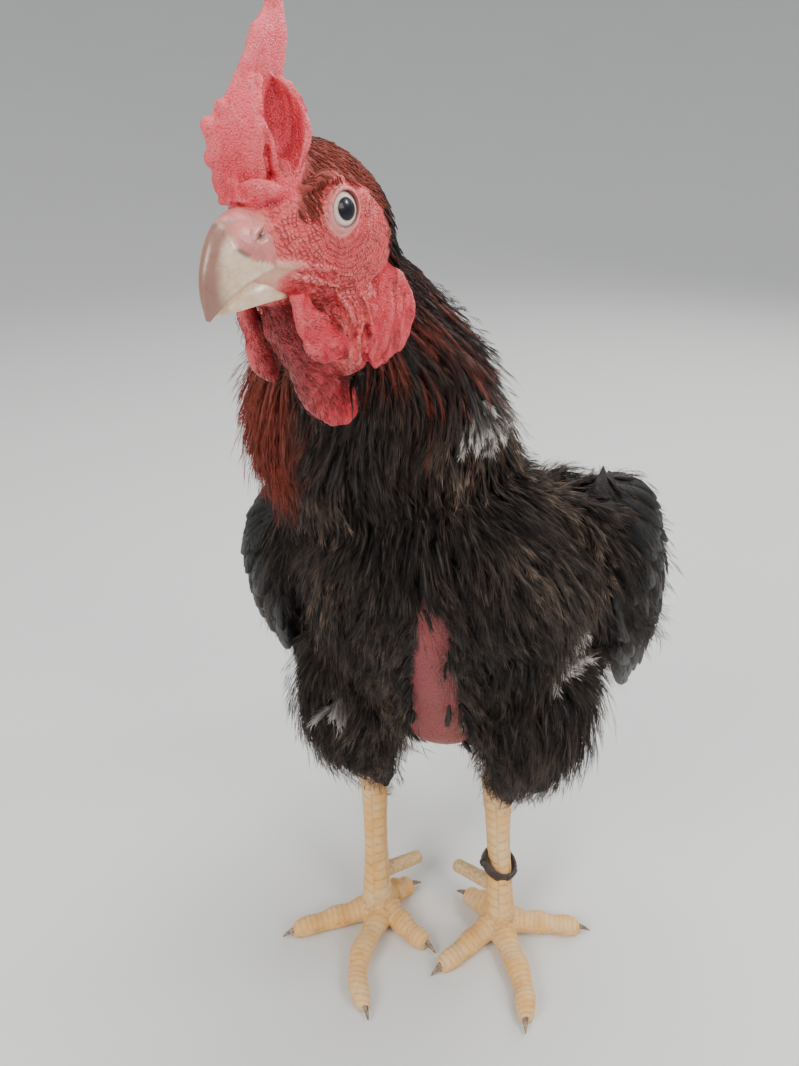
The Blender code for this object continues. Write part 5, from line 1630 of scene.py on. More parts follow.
def build_bill(part):
    upper = part == "upper"
    thing = new_mesh("bill_" + part, *bill_form(BILL_UPPER if upper else BILL_LOWER, 0 if upper else 0.35))
    outward(thing)
    points = points_of(thing)
    f, l, u = head_coords(points)
    nf, nl, nu = NOSTRIL_AT
    # slot: the nostril's slit, pressed in here and painted near black in the material as shade in the opening
    slot = bell(np.hypot((f - nf) / 2.7, (u - nu + 0.45 * (f - nf)) / 0.75), 1) * upper * (np.abs(l) > 3)
    edge = np.interp(u, *CERE_EDGE) + 0.9 * noise(points, 0.003, 104)
    cere = step(edge + 0.7, edge - 1.6, f) * upper
    flap = bell(np.hypot((f - nf - 1.5) / 4.5, (u - nu + 2.5) / 3.6), 1) * upper
    push = 0.7 * flap - 1.4 * slot + 0.1 * noise(points, 0.006, 105) + 0.12 * noise(points, 0.002, 106) * cere
    push -= 0.25 * bell(f - edge, 0.8) * upper
    swell(thing, push)
    culmen = step(5, 2, np.abs(l - 0.8)) * step(34, 41, f) * upper
    marks = bell(f - edge + 0.4, 1.6) * step(0.05, 0.5, noise(points, 0.0024, 108)) * step(-11, -7, u) * upper
    low_mark = bell(np.hypot(f - 23.5, u + 19), 1.6) * step(-0.3, 0.3, noise(points, 0.0015, 109))
    marks = np.maximum(marks, low_mark * (1 - upper))
    paint(thing, "Bill", (culmen, np.clip(slot * 1.6, 0, 1), cere, marks))
    return thing


def build_eye(side):
    """The eyeball, its pole turned to look out, with the cornea standing a little proud."""
    for other in bpy.context.selected_objects:
        other.select_set(False)
    bpy.ops.mesh.primitive_uv_sphere_add(segments=72, ring_count=64, radius=EYE_RADIUS * MM)
    eye = bpy.context.object
    eye.name = eye.data.name = "eyeball_" + side
    aim = eye_aim(side)
    eye.data.transform(Vector(aim).to_track_quat("Z", "Y").to_matrix().to_4x4())
    points = points_of(eye)
    turn = np.arccos(np.clip(unit(points) @ aim, -1, 1))
    out = EYE_RADIUS * np.sin(turn)
    bulge = 0.45 * np.clip(1 - (out / (IRIS + 0.6)) ** 2, 0, 1) * (turn < 1.5)
    reshape(eye, eye_centre(side) + points * (1 + bulge / EYE_RADIUS)[:, None])
    paint(eye, "Gaze", [np.where(turn < 1.5, out / 10, 1)])
    return eye


def build_band():
    """The leather band round the left shank, with the rivet that closes it."""
    axis = unit(np.array(BAND_AXIS))
    first = unit(np.cross(axis, (0, 1, 0)))
    second = np.cross(axis, first)
    centre = shank_at("left", BAND_HEIGHT)
    turn = circle(BAND_STEPS)
    out = first * np.cos(turn)[:, None] + second * np.sin(turn)[:, None]
    overlap = 0.0009 * step(0.3, 0.24, np.abs(turn / (2 * math.pi) - 0.42) * 4)
    rings = np.stack([centre + out * (r + overlap * (r > 0.011))[:, None] + axis * h
                      for r, h in BAND_PROFILE], 1)
    quads = np.stack(grid(BAND_STEPS, len(BAND_PROFILE), True), -1).reshape(-1, 4)
    band = new_mesh("leather_band", rings.reshape(-1, 3), quads)
    outward(band)
    modify(band, "BEVEL", width=0.0004, segments=2, limit_method="ANGLE", angle_limit=math.radians(30))
    face_out = first * math.cos(RIVET_TURN) + second * math.sin(RIVET_TURN)
    boolean(band, "UNION", new_mesh("rivet", *ball(centre + face_out * RIVET_OUT, RIVET_RADIUS, 28, 16)))
    swell(band, 0.22 * noise(points_of(band), 0.0022, 107))
    return band


# Materials


class Web:
    """Adds shader nodes to one tree and links them."""

    def __init__(self, tree):
        self.tree = tree

    def feed(self, socket, value):
        if isinstance(value, bpy.types.NodeSocket):
            self.tree.links.new(value, socket)
        elif hasattr(socket.default_value, "__len__") and len(socket.default_value) == 4 and len(value) == 3:
            socket.default_value = (*value, 1)
        else:
            socket.default_value = value

    def node(self, kind, inputs, **settings):
        """A new node with these settings and inputs, by place or name."""
        made = self.tree.nodes.new("ShaderNode" + kind)
        for key, value in settings.items():
            setattr(made, key, value)
        for key, value in inputs.items():
            self.feed(made.inputs[key], value)
        return made

    def maths(self, kind, a, b=0, clamp=False):
        return self.node("Math", {0: a, 1: b}, operation=kind, use_clamp=clamp).outputs[0]

    def times(self, a, b, clamp=False):
        return self.maths("MULTIPLY", a, b, clamp)

    def plus(self, a, b):
        return self.maths("ADD", a, b)

    def minus(self, a, b):
        return self.maths("SUBTRACT", a, b)

    def mix(self, share, a, b):
        return self.node("Mix", {0: share, 6: a, 7: b}, data_type="RGBA").outputs[2]

    def over(self, base, colour, share, amount):
        """A colour laid over the base by the product of two shares."""
        return self.mix(self.times(share, amount), base, colour)

    def ramp(self, value, low, high, start=0, end=1):
        return self.node("MapRange", dict(enumerate((value, low, high, start, end))),
                         interpolation_type="SMOOTHSTEP").outputs[0]

    def noise(self, vector, scale, detail=3, rough=0.5, output="Fac"):
        return self.node("TexNoise", {"Vector": vector, "Scale": scale, "Detail": detail,
                                      "Roughness": rough}).outputs[output]

    def attribute(self, name):
        """A colour attribute's four channels."""
        made = self.node("Attribute", {}, attribute_name=name)
        return (*self.node("SeparateColor", {0: made.outputs["Color"]}).outputs, made.outputs["Alpha"])

    def place(self):
        return self.node("TexCoord", {}).outputs["Object"]

    def bump(self, height, strength, distance):
        return self.node("Bump", {"Height": height, "Strength": strength, "Distance": distance}).outputs[0]

    def use(self, name, **values):
        """A node group with these inputs, as its outputs."""
        inputs = {label.replace("_", " "): value for label, value in values.items()}
        return self.node("Group", inputs, node_tree=node_group(name)).outputs


COLOUR_SOCKETS = ("Ground", "Brown", "Rust", "Frost", "Colour")


def group_of(name, inputs, outputs):
    """An empty shader node group with its web, its inputs and its outputs."""
    group = bpy.data.node_groups.new(name, "ShaderNodeTree")
    for way, sockets in (("INPUT", inputs), ("OUTPUT", outputs)):
        for label in sockets.split(", "):
            kind = "Vector" if label == "Vector" else "Color" if label in COLOUR_SOCKETS else "Float"
            group.interface.new_socket(label, in_out=way, socket_type="NodeSocket" + kind)
    given, out = (group.nodes.new("NodeGroup" + end) for end in ("Input", "Output"))
    return group, Web(group), given.outputs, out.inputs


def grain_group():
    """Skin or scale cells: a height, the creases between cells and a slow mottle."""
    group, web, given, out = group_of("skin_grain", "Vector, Cell Scale", "Height, Crease, Mottle")
    place = given["Vector"]
    shaken = web.node("VectorMath", {0: web.noise(place, 320, 2, 0.5, "Color"), 1: (0.5, 0.5, 0.5)},
                      operation="SUBTRACT").outputs[0]
    warped = web.node("VectorMath", {0: shaken, 1: (0.0012,) * 3, 2: place},
                      operation="MULTIPLY_ADD").outputs[0]
    dome = web.node("TexVoronoi", {"Vector": warped, "Scale": given["Cell Scale"]}).outputs["Distance"]
    height = web.plus(web.minus(1, web.times(dome, dome)), web.times(web.noise(place, 2300, 2), 0.4))
    for name, value in (("Height", height), ("Crease", web.ramp(dome, 0.45, 0.85)),
                        ("Mottle", web.noise(place, 110, 4))):
        web.feed(out[name], value)
    return group


def hatch_group():
    """Creases in rings and rays round the eye, crossing each other."""
    group, web, given, out = group_of("skin_hatch", "Vector, Away, Turn", "Height, Crease")
    place = given["Vector"]
    sway = web.times(web.noise(place, 190), 20)
    rings, rays = (web.maths("SINE", web.plus(web.times(given[name], 2 * math.pi * count), sway))
                   for name, count in (("Away", 50 / 1.6), ("Turn", 76)))
    broken = web.ramp(web.noise(place, 420, 2), 0.4, 0.6, 0.35, 1)
    crease = web.maths("MAXIMUM", web.ramp(rings, 0.25, 1), web.times(web.ramp(rays, 0.35, 1), 0.8))
    crease = web.times(crease, broken)
    web.feed(out["Height"], web.minus(web.times(web.noise(place, 1500, 2), 0.5), crease))
    web.feed(out["Crease"], crease)
    return group


def marking_group():
    """Plumage colour from a feather's marks: ground, rust, frost and paler barbs."""
    group, web, given, out = group_of(
        "plumage_marking", "Rust Share, Frost Share, Tone, Barb, Along, Ground, Brown, Rust, Frost",
        "Colour, Gloss")
    tip = web.ramp(given["Along"], 0.45, 1)
    pale = web.times(given["Tone"], web.plus(web.times(given["Barb"], 0.75), 0.25))
    base = web.mix(web.times(pale, web.plus(tip, 0.25), True), given["Ground"], given["Brown"])
    rusty_share = web.times(given["Rust Share"], web.ramp(given["Along"], 0.15, 0.65, 0.35, 1), True)
    base = web.mix(rusty_share, base, given["Rust"])
    base = web.mix(web.times(given["Frost Share"], web.plus(tip, 0.35), True), base, given["Frost"])
    web.feed(out["Colour"], base)
    web.feed(out["Gloss"], web.minus(0.52, web.times(given["Rust Share"], 0.08)))
    return group


def finish(name):
    """A material with its web and its Principled shader."""
    made = bpy.data.materials.new(name)
    made.use_nodes = True
    return made, Web(made.node_tree), made.node_tree.nodes["Principled BSDF"]


def shade(web, shader, **values):
    for name, value in values.items():
        web.feed(shader.inputs[name.replace("_", " ")], value)


def skin_material(sizes):
    """Crimson skin of face, comb, wattles and keel, dark under the coat.

    Painted shade darkens hollows, creases and the edge of each eye's opening;
    a painted highlight pales raised bumps.
    """
    made, web, shader = finish("aseel_skin")
    comb, lobes, coat, rim = web.attribute("Flesh")
    hollow, keel_share, lid, throat = web.attribute("Fold")
    away, turn, hatched, gape = web.attribute("Round")
    place = web.place()
    face_grain, comb_grain = (web.use("grain", Vector=place, Cell_Scale=scale) for scale in (720, 1500))
    hatch = web.use("hatch", Vector=place, Away=away, Turn=turn)
    soft = web.maths("MAXIMUM", comb, lobes)
    bare, unhatched = web.minus(1, soft), web.minus(1, hatched)
    smooth = web.minus(1, web.maths("MAXIMUM", lid, gape))
    base = web.mix(lobes, web.mix(comb, sizes.face_colour, sizes.comb_colour), sizes.wattle_colour)
    base = web.over(base, web.mix(0.55, base, tint(236, 136, 130)),
                    web.ramp(face_grain["Mottle"], 0.35, 0.68), web.ramp(lobes, 0, 1, 0.3, 0.12))
    # Painted shade: deeper crimson where the skin lies in a hollow
    base = web.over(base, tint(168, 22, 34), web.ramp(hollow, 0.52, 0.9), 0.55)
    # Painted highlight: paler pink where the skin stands above its neighbours, less on comb and lobes
    base = web.over(base, tint(240, 136, 138), web.ramp(hollow, 0.5, 0.28), web.ramp(soft, 0, 1, 0.42, 0.22))
    # Painted shade: dark red in the creases between skin cells and round the eye, faintly in the comb's
    # creases
    crease = web.plus(web.times(web.times(face_grain["Crease"], unhatched), 0.35),
                      web.times(web.times(hatch["Crease"], hatched), 0.75))
    crease = web.plus(web.times(crease, web.times(smooth, bare)),
                      web.times(web.times(comb_grain["Crease"], soft), 0.07))
    base = web.mix(crease, base, tint(128, 22, 28))
    base = web.over(base, sizes.lid_colour, lid, 0.75)
    base = web.over(base, tint(228, 140, 130), gape, 0.75)
    base = web.over(base, sizes.bill_colour, web.ramp(gape, 0.55, 1), 0.7)
    base = web.over(base, tint(100, 44, 40), throat, 0.58)
    keel_skin = web.over(sizes.keel_colour, tint(112, 50, 44), face_grain["Mottle"], 0.6)
    base = web.mix(keel_share, base, keel_skin)
    base = web.mix(coat, base, web.mix(web.ramp(away, 0.75, 0.95), tint(150, 58, 48), sizes.under_colour))
    # Painted shade: a dark line round each eye's opening, where lid meets eyeball
    base = web.mix(rim, base, tint(62, 34, 34))
    height = web.plus(web.times(web.times(comb_grain["Height"], 0.6), soft),
                      web.times(web.times(hatch["Height"], hatched), bare))
    height = web.plus(height, web.times(face_grain["Height"], web.times(unhatched, bare)))
    height = web.times(height, web.ramp(smooth, 0, 1, 0.25, 1))
    roughness = web.plus(web.ramp(soft, 0, 1, 0.39, 0.35), web.times(coat, 0.5))
    shade(web, shader, Base_Color=base, Roughness=roughness,
          Normal=web.bump(height, 1, 0.0008), Subsurface_Weight=0.18, Subsurface_Radius=(1, 0.25, 0.15),
          Subsurface_Scale=0.002, Specular_IOR_Level=0.55, Coat_Weight=0.1, Coat_Roughness=0.25)
    return made


def plumage_material(sizes, name, ground, brown, roughness, gleam):
    """Feathers: ground and markings by feather, fine barbs along each vane."""
    made, web, shader = finish("aseel_" + name + "_plumage")
    rust, frost, tone, barb = web.attribute("Mark")
    across, up_vane, _ = web.node("SeparateXYZ", {0: web.node("UVMap", {}, uv_map="Vane").outputs[0]}).outputs
    marked = web.use("marking", Rust_Share=rust, Frost_Share=frost, Tone=tone, Barb=barb, Along=up_vane,
                     Ground=ground, Brown=brown, Rust=sizes.rust_colour, Frost=sizes.frost_colour)
    from_shaft = web.maths("ABSOLUTE", web.minus(across, 0.5))
    strands = web.maths("SINE", web.times(web.minus(up_vane, web.times(from_shaft, 0.45)), 210))
    shaft = web.ramp(from_shaft, 0.012, 0.045, 1, 0)
    colour = marked["Colour"]
    colour = web.over(colour, web.mix(0.6, colour, brown), web.times(shaft, web.minus(1, barb)), 0.35)
    shadow = web.ramp(web.noise(web.place(), 420, 2), 0.35, 0.75, 0, 0.3)
    colour = web.mix(shadow, colour, web.mix(0.7, colour, (0, 0, 0)))
    shade(web, shader, Base_Color=colour, Roughness=web.plus(marked["Gloss"], roughness - 0.5),
          Normal=web.bump(web.plus(web.times(strands, 0.25), shaft), 0.35, 0.0003), Specular_IOR_Level=gleam)
    return made


def leg_material(sizes):
    """Pale ochre scutes with darker joints and small scales at the sides."""
    made, web, shader = finish("aseel_leg_scale")
    groove, plate, hock, _ = web.attribute("Scale")
    place = web.place()
    grain = web.use("grain", Vector=place, Cell_Scale=430)
    small = web.times(web.minus(1, plate), grain["Crease"])
    tone = web.ramp(web.noise(place, 60, 5, 0.6), 0.35, 0.7)
    base = web.mix(tone, sizes.leg_colour, tint(231, 198, 150))
    base = web.over(base, tint(208, 150, 84), web.ramp(grain["Mottle"], 0.5, 0.75), 0.45)
    base = web.over(base, tint(222, 168, 150), hock, 0.6)
    dark = web.plus(web.times(web.ramp(web.noise(place, 240, 4, 0.7), 0.42, 0.62), 0.7), 0.3)
    lines = web.maths("MAXIMUM", web.times(groove, 0.42), web.times(small, 0.4))
    base = web.over(base, tint(112, 76, 46), lines, dark)
    height = web.plus(web.times(small, -0.8), web.times(web.noise(place, 900), 0.5))
    shade(web, shader, Base_Color=base, Roughness=web.ramp(tone, 0, 1, 0.46, 0.62),
          Normal=web.bump(height, 0.5, 0.0005), Subsurface_Weight=0.1, Subsurface_Radius=(1, 0.6, 0.35),
          Subsurface_Scale=0.0015, Specular_IOR_Level=0.42)
    return made


def bill_material(sizes):
    """Ivory horn, browner down the culmen, fleshy round the nostril, with grey-brown marks between."""
    made, web, shader = finish("aseel_bill_horn")
    culmen, slot, cere, marks = web.attribute("Bill")
    place = web.place()
    lengthwise = web.node("Mapping", {"Vector": place, "Scale": (1, 0.35, 1), "Rotation": (0, 0, HEAD_TURN)})
    streak = web.noise(lengthwise.outputs[0], 420, 4, 0.6)
    base = web.mix(web.ramp(streak, 0.35, 0.7), sizes.bill_colour, tint(228, 204, 180))
    base = web.over(base, tint(136, 90, 78), culmen, 0.9)
    flesh = web.mix(web.ramp(web.noise(place, 300), 0.35, 0.65), tint(218, 122, 116), tint(190, 118, 112))
    base = web.over(web.mix(cere, base, flesh), tint(84, 66, 64), marks, 0.8)
    # Painted shade: the nostril's slit near black
    base = web.mix(slot, base, tint(40, 24, 24))
    height = web.plus(streak, web.times(web.noise(place, 900), web.plus(cere, 0.3)))
    shade(web, shader, Base_Color=base, Roughness=web.ramp(streak, 0.3, 0.7, 0.26, 0.4),
          Normal=web.bump(height, 0.3, 0.0005), Subsurface_Weight=0.2, Subsurface_Radius=(1, 0.7, 0.5),
          Subsurface_Scale=0.002, Coat_Weight=0.25, Coat_Roughness=0.22)
    return made


def horn_material(name, colour, pale):
    """Horn of claws or spurs with streaks of a paler shade."""
    made, web, shader = finish(name)
    streak = web.noise(web.place(), 500, 4, 0.6)
    shade(web, shader, Base_Color=web.mix(web.ramp(streak, 0.35, 0.68), colour, pale),
          Roughness=web.ramp(streak, 0.3, 0.7, 0.34, 0.52), Normal=web.bump(streak, 0.3, 0.0004),
          Coat_Weight=0.15, Coat_Roughness=0.25)
    return made


def eye_material(sizes):
    """A pearl iris with fine fibres, a dark pupil and a wet surface."""
    made, web, shader = finish("aseel_eye")
    out = web.attribute("Gaze")[0]
    fibres = web.noise(web.place(), 1100)
    base = web.mix(web.ramp(fibres, 0.4, 0.65), sizes.iris_colour, tint(238, 228, 218))
    for start, end, colour in ((0.4, 0.36, tint(190, 158, 146)), (0.47, 0.56, tint(188, 160, 156)),
                               (0.6, 0.64, tint(150, 96, 90)),
                               (PUPIL / 10 + 0.008, PUPIL / 10 - 0.006, tint(14, 14, 26))):
        base = web.mix(web.ramp(out, start, end), base, colour)
    shade(web, shader, Base_Color=base, Roughness=0.35, Specular_IOR_Level=0.2, Coat_Weight=0.6,
          Coat_Roughness=0.02, Coat_IOR=1.33, Normal=web.bump(fibres, 0.04, 0.0002))
    return made


def band_material(sizes):
    made, web, shader = finish("worn_band_leather")
    grain = web.use("grain", Vector=web.place(), Cell_Scale=1300)
    worn = web.ramp(grain["Mottle"], 0.45, 0.7)
    shade(web, shader, Base_Color=web.over(sizes.band_colour, tint(92, 80, 74), worn, 0.45),
          Roughness=web.ramp(worn, 0, 1, 0.42, 0.66), Normal=web.bump(grain["Height"], 0.45, 0.0004))
    return made


def floor_material(sizes):
    made, web, shader = finish("pale_floor")
    place = web.place()
    cloud = web.noise(place, 6, 4)
    shade(web, shader, Base_Color=web.over(sizes.floor_colour, tint(205, 205, 204), cloud, 0.25),
          Roughness=web.ramp(cloud, 0.3, 0.7, 0.62, 0.72),
          Normal=web.bump(web.noise(place, 300, 2), 0.04, 0.0004))
    return made


GROUP_MAKERS = {"grain": grain_group, "hatch": hatch_group, "marking": marking_group}
MAKERS = {
    "skin": skin_material,
    "leg": leg_material,
    "bill": bill_material,
    "eye": eye_material,
    "band": band_material,
    "floor": floor_material,
    "body_plumage": lambda s: plumage_material(s, "body", s.plume_colour, s.barb_colour, 0.55, 0.35),
    "flight_plumage": lambda s: plumage_material(s, "flight", s.flight_colour, s.flight_edge, 0.48, 0.4),
    "claw": lambda s: horn_material("aseel_claw_horn", s.claw_colour, tint(170, 142, 112)),
    "spur": lambda s: horn_material("aseel_spur_horn", s.spur_colour, tint(226, 196, 150)),
}


@functools.cache
def node_group(name):
    """Each node group once."""
    return GROUP_MAKERS[name]()


@functools.cache
def material(name):
    """Each finish once, made when it is first asked for."""
    return MAKERS[name](bpy.context.scene.aseel)


# Settings, operators and panel


def detail_prop(name, skin, default, least):
    return FloatProperty(name=name, description="Size of the " + skin + "'s mesh cells", default=default,
                         min=least, unit="LENGTH", precision=5)


def colour_prop(name, description, *screen):
    return FloatVectorProperty(name=name, description=description, subtype="COLOR", size=3, min=0, max=1,
                               default=tint(*screen))


class AseelSettings(bpy.types.PropertyGroup):
    """Sizes and colours of the cock's looks."""

    head_voxel: detail_prop("Head detail", "head skin", 0.00062, 0.0003)
    body_voxel: detail_prop("Body detail", "body skin", 0.0038, 0.001)
    leg_voxel: detail_prop("Leg detail", "leg skin", 0.00066, 0.0003)
    feather_density: FloatProperty(name="Feather density",
                                   description="Number of feathers against a full coat", default=1,
                                   min=0.1, max=1.5, subtype="FACTOR")
    feather_seed: IntProperty(name="Feather seed", description="Seed for the spread of feathers", default=23)
    face_colour: colour_prop("Face", "Bare skin of the face", 222, 62, 66)
    comb_colour: colour_prop("Comb", "Waxy skin of the comb", 244, 78, 96)
    wattle_colour: colour_prop("Wattles", "Wattles, dewlap and earlobes", 208, 26, 48)
    lid_colour: colour_prop("Lids", "Skin round the eyes", 226, 160, 152)
    keel_colour: colour_prop("Keel", "Bare strip down the breast", 146, 42, 48)
    under_colour: colour_prop("Under the coat", "Skin and down under the feathers", 24, 16, 15)
    plume_colour: colour_prop("Plumage", "Ground colour of the body feathers", 27, 20, 19)
    barb_colour: colour_prop("Barbs", "Paler brown of barbs and feather edges", 130, 108, 92)
    rust_colour: colour_prop("Rust", "Red-brown of crown and neck", 146, 56, 38)
    frost_colour: colour_prop("Frost", "Pale feathers on neck and flank", 222, 214, 206)
    flight_colour: colour_prop("Flight feathers", "Ground colour of wings and tail", 15, 15, 17)
    flight_edge: colour_prop("Flight edges", "Worn edges and shafts of the flight feathers", 56, 48, 44)
    leg_colour: colour_prop("Legs", "Scales of shanks and toes", 236, 180, 104)
    claw_colour: colour_prop("Claws", "Horn of the claws", 98, 80, 66)
    spur_colour: colour_prop("Spurs", "Horn of the spurs", 198, 158, 106)
    bill_colour: colour_prop("Bill", "Ivory horn of the bill", 214, 182, 152)
    iris_colour: colour_prop("Iris", "Pearl of the iris", 226, 212, 204)
    band_colour: colour_prop("Band", "Leather of the leg band", 52, 42, 40)
    floor_colour: colour_prop("Floor", "Plain pale floor", 222, 222, 220)


FLESH_NODES = ("head", "comb", "wattle_left", "wattle_right", "dewlap", "earlobe_left", "earlobe_right",
               "torso", "neck", "thigh_left", "thigh_right")
COAT_SLOTS = {"neck": "hackle", "torso": "breast", "thigh": "breast", "shoulder": "breast", "wing": "flight",
              "tail": "flight"}
PIECE_LIMIT = 190000


@functools.cache
def coat_of_skin():
    """The coat's surface, worked out once."""
    return Coat(bpy.data.objects["skin"], bpy.context.scene.aseel.feather_density)


def dice(step_of_seed):
    """The random numbers of one step."""
    return np.random.default_rng(bpy.context.scene.aseel.feather_seed + step_of_seed)


def cut_up(grown):
    """Grown feathers as parts under the limit of triangles, cut between whole feathers."""
    faces, per_point = grown[1], (grown[0], *grown[2:])
    pieces = math.ceil(len(faces) / PIECE_LIMIT)
    first = np.concatenate([[True], faces[1:].min(-1) > np.maximum.accumulate(faces.max(-1))[:-1]])
    starts = np.nonzero(first)[0]
    near = [len(faces) * k // pieces for k in range(1, pieces)]
    cuts = [0, *starts[np.searchsorted(starts, near)], len(faces)]
    for low, high in zip(cuts, cuts[1:]):
        mine = faces[low:high]
        a, b = mine.min(), mine.max() + 1
        verts, *rest = (field[a:b] for field in per_point)
        yield (verts, mine - a, *rest)


def add_coat(name, grown, slot):
    """Feathers as one or more pieces."""
    finish_name = "flight_plumage" if slot == "flight" else "body_plumage"
    parts = list(cut_up(grown))
    for i, part in enumerate(parts):
        label = name + "_feathers" + ("_" + str(i + 1) if len(parts) > 1 else "")
        plumage(label, part, finish_name, slot)


class MakeSkin(bpy.types.Operator):
    """Build the one skin from comb to thighs"""

    bl_idname = "aseel.skin"
    bl_label = "Skin"

    def execute(self, context):
        put(build_skin(context.scene.aseel), "skin", "face", *FLESH_NODES)
        return {"FINISHED"}


class MakeCoat(bpy.types.Operator):
    """Cover the body, neck and thighs with feathers"""

    bl_idname = "aseel.coat"
    bl_label = "Body feathers"

    def execute(self, context):
        coat, rng = coat_of_skin(), dice(0)
        for zone in coat.zones:
            add_coat(zone, zone_feathers(coat, zone, rng), COAT_SLOTS[zone.split("_")[0]])
        add_coat("stray", stray_feathers(coat, rng), "breast")
        add_coat("down", down_tufts(coat, rng), "breast")
        return {"FINISHED"}


class MakeHeadFeathers(bpy.types.Operator):
    """Add the short feathers of the head and the bristles of throat and keel"""

    bl_idname = "aseel.head_feathers"
    bl_label = "Head feathers"

    def execute(self, context):
        coat, rng = coat_of_skin(), dice(1)
        add_coat("crown", crown_feathers(coat, rng), "hackle")
        add_coat("bristle", bristles(coat, rng), "hackle")
        return {"FINISHED"}


class MakeWings(bpy.types.Operator):
    """Lay the quills of both wings in tiers"""

    bl_idname = "aseel.wings"
    bl_label = "Wings"

    def execute(self, context):
        rng = dice(2)
        for i, side in enumerate(SIDES):
            grown = quills(*wing_place(side), WING_TIERS, (0.34 * i, 0.67),
                           lambda b: 0.16 * rng.uniform(0.6, 1.4, len(b)), rng, 0.13)
            plumage("wing_quills_" + side, grown, "flight_plumage", "flight", "wing_" + side)
        return {"FINISHED"}


class MakeTail(bpy.types.Operator):
    """Lay the short drooping tail and its coverts"""

    bl_idname = "aseel.tail"
    bl_label = "Tail"

    def execute(self, context):
        grown = quills(*tail_place(), TAIL_TIERS, (0.68, 0.67), lambda b: 0.16 * np.sign(b), dice(3), 0.06)
        plumage("tail_quills", grown, "flight_plumage", "flight", "tail")
        return {"FINISHED"}


class MakeEyes(bpy.types.Operator):
    """Set both eyes"""

    bl_idname = "aseel.eyes"
    bl_label = "Eyes"

    def execute(self, context):
        for side in SIDES:
            put(build_eye(side), "eye", "eye", "eye_" + side)
        return {"FINISHED"}


class MakeBill(bpy.types.Operator):
    """Build the upper and lower bill"""

    bl_idname = "aseel.bill"
    bl_label = "Bill"

    def execute(self, context):
        for part in ("upper", "lower"):
            put(build_bill(part), "bill", "horn", "beak_" + part)
        return {"FINISHED"}


class MakeLegs(bpy.types.Operator):
    """Build shanks, feet, claws and spurs"""

    bl_idname = "aseel.legs"
    bl_label = "Legs"

    def execute(self, context):
        for side in SIDES:
            put(build_leg(side, context.scene.aseel.leg_voxel), "leg", "leg", "shank_" + side, "foot_" + side)
            for toe in (side + "_" + name for name in TOES):
                claw = build_horny("horn_" + toe, claw_form(*toe.split("_")), 0.08)
                put(claw, "claw", "claw", "claw_" + toe)
            put(build_horny("spur_horn_" + side, spur_form(side), 0.22), "spur", "claw", "spur_" + side)
        return {"FINISHED"}


class MakeBand(bpy.types.Operator):
    """Build the leather band on the left shank"""

    bl_idname = "aseel.band"
    bl_label = "Leg band"

    def execute(self, context):
        put(build_band(), "band", "band", "leg_band")
        return {"FINISHED"}


# Name, place, aimed at, size, watts and colour of each lamp
LAMPS = (
    ("window_light", (-1.3, -1.7, 1.7), (-0.02, -0.05, 0.32), 1.1, 42, (1, 0.98, 0.95)),
    ("fill_light", (1.5, -1.1, 1.3), (0, 0, 0.3), 0.8, 16, (1, 0.97, 0.93)),
    ("sky_light", (0.1, 0.3, 2.2), (0, 0, 0.25), 1.6, 34, (1, 1, 1)),
    ("rim_light", (0.8, 1.6, 1.4), (0, 0.05, 0.3), 1, 16, (1, 0.98, 0.96)),
)
# The small light mirrored in the left eye: how far off it stands and where it shows above the pupil
CATCH_AWAY, CATCH_HIGH, CATCH_SIZE, CATCH_WATTS = 0.6, 0.3, 0.09, 1.6
BOWL_FLAT, BOWL_EDGE, BOWL_HIGH = 2.5, 6, 3


def bowl():
    """A round floor, flat under the cock and rising gently at its edge, as vertices and faces."""
    out = np.concatenate([np.linspace(0.02, BOWL_FLAT, 12), np.linspace(BOWL_FLAT, BOWL_EDGE, 24)[1:]])
    turn = circle(96)
    rise = BOWL_HIGH * np.clip((out - BOWL_FLAT) / (BOWL_EDGE - BOWL_FLAT), 0, 1) ** 2
    out, rise = out[:, None], rise[:, None]
    rings = np.stack([out * np.cos(turn), out * np.sin(turn), rise + 0 * turn], -1)
    verts, faces = loft(rings)
    return verts[:-1], faces[(faces < len(verts) - 1).all(-1)]


def catch_place():
    """Where the catch light stands, in the frame of the source."""
    eye = eye_centre("left")
    view, spot = unit(CAMERA_AT - eye), unit(eye_aim("left") + UP * CATCH_HIGH)
    return eye + (spot * (2 * (spot @ view)) - view) * CATCH_AWAY


def add_lamp(name, place, target, size, watts, colour):
    """A square lamp at its place, aimed at its target."""
    data = bpy.data.lights.new(name, "AREA")
    data.shape, data.size, data.energy, data.color = "SQUARE", size, watts, colour
    lamp = bpy.data.objects.new(name, data)
    lamp.location = place
    lamp.rotation_euler = (Vector(target) - Vector(place)).to_track_quat("-Z", "Y").to_euler()
    lamp.visible_camera = False
    bpy.context.scene.collection.objects.link(lamp)


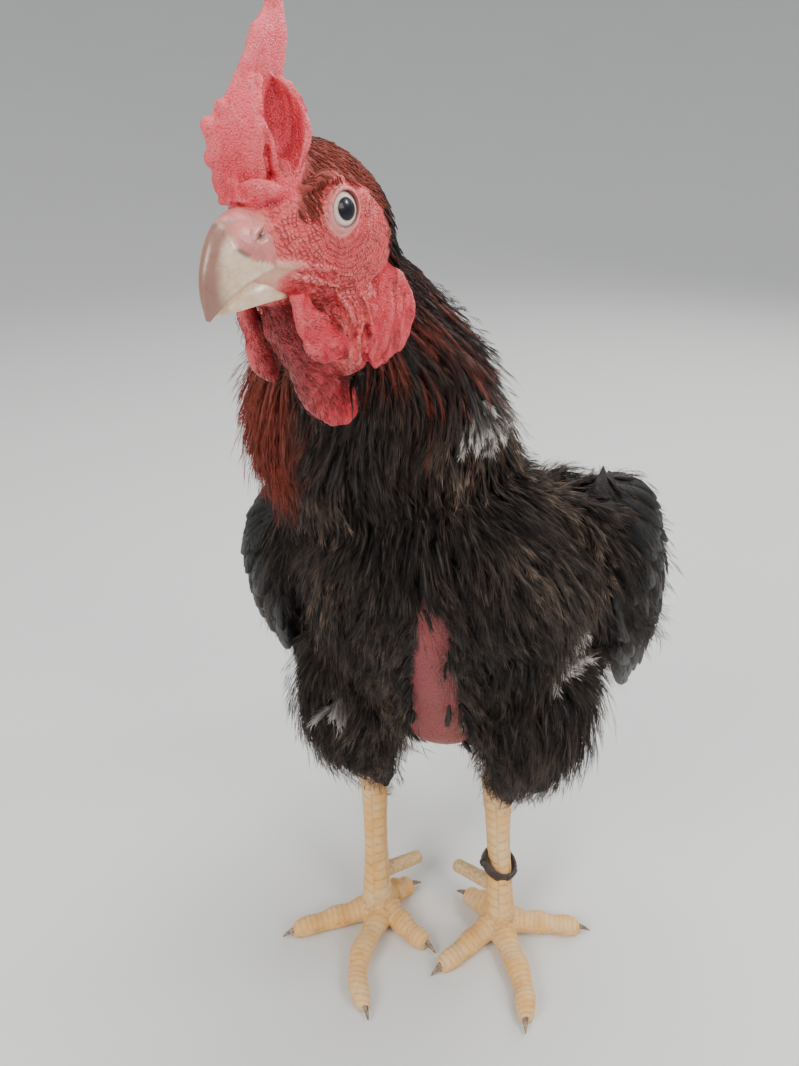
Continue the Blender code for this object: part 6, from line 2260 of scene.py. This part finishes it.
def add_camera(place):
    """The photograph's camera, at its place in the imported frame."""
    data = bpy.data.cameras.new("camera")
    data.sensor_width = SENSOR
    data.lens = FOCAL_PIXELS / LONG_SIDE * SENSOR
    camera = bpy.data.objects.new("camera", data)
    camera.location = place
    camera.rotation_euler = (math.pi / 2 - CAMERA_TILT, 0, CAMERA_PAN)
    bpy.context.scene.collection.objects.link(camera)
    bpy.context.scene.camera = camera


class MakeStage(bpy.types.Operator):
    """Set the floor, the lights and the camera"""

    bl_idname = "aseel.stage"
    bl_label = "Stage"

    def execute(self, context):
        floor = new_mesh("floor", *bowl())
        floor.data.shade_smooth()
        floor.data.materials.append(material("floor"))
        for lamp in LAMPS:
            add_lamp(*lamp)
        add_lamp("catch_light", catch_place() + home(), eye_centre("left") + home(), CATCH_SIZE, CATCH_WATTS,
                 (1, 1, 1))
        world = bpy.data.worlds.new("soft_surround")
        world.use_nodes = True
        surround = world.node_tree.nodes["Background"]
        surround.inputs["Color"].default_value = (0.8, 0.83, 0.86, 1)
        surround.inputs["Strength"].default_value = 0.55
        context.scene.world = world
        add_camera(CAMERA_AT + home())
        return {"FINISHED"}


STEPS = (MakeStage, MakeSkin, MakeEyes, MakeBill, MakeLegs, MakeBand, MakeCoat, MakeHeadFeathers, MakeWings,
         MakeTail)


class AseelPanel(bpy.types.Panel):
    """Buttons and settings for each part of the cock"""

    bl_label = "Aseel Cock"
    bl_idname = "VIEW3D_PT_aseel_cock"
    bl_space_type = "VIEW_3D"
    bl_region_type = "UI"
    bl_category = "Aseel Cock"

    def draw(self, context):
        for name in AseelSettings.__annotations__:
            self.layout.prop(context.scene.aseel, name)
        for made in STEPS:
            self.layout.operator(made.bl_idname)


CLASSES = (AseelSettings, *STEPS, AseelPanel)


def register():
    for made in CLASSES:
        bpy.utils.register_class(made)
    bpy.types.Scene.aseel = PointerProperty(type=AseelSettings)


def unregister():
    del bpy.types.Scene.aseel
    for made in reversed(CLASSES):
        bpy.utils.unregister_class(made)


def main():
    register()
    for made in STEPS:
        getattr(bpy.ops.aseel, made.bl_idname.split(".")[1])()


if __name__ == "__main__":
    main()
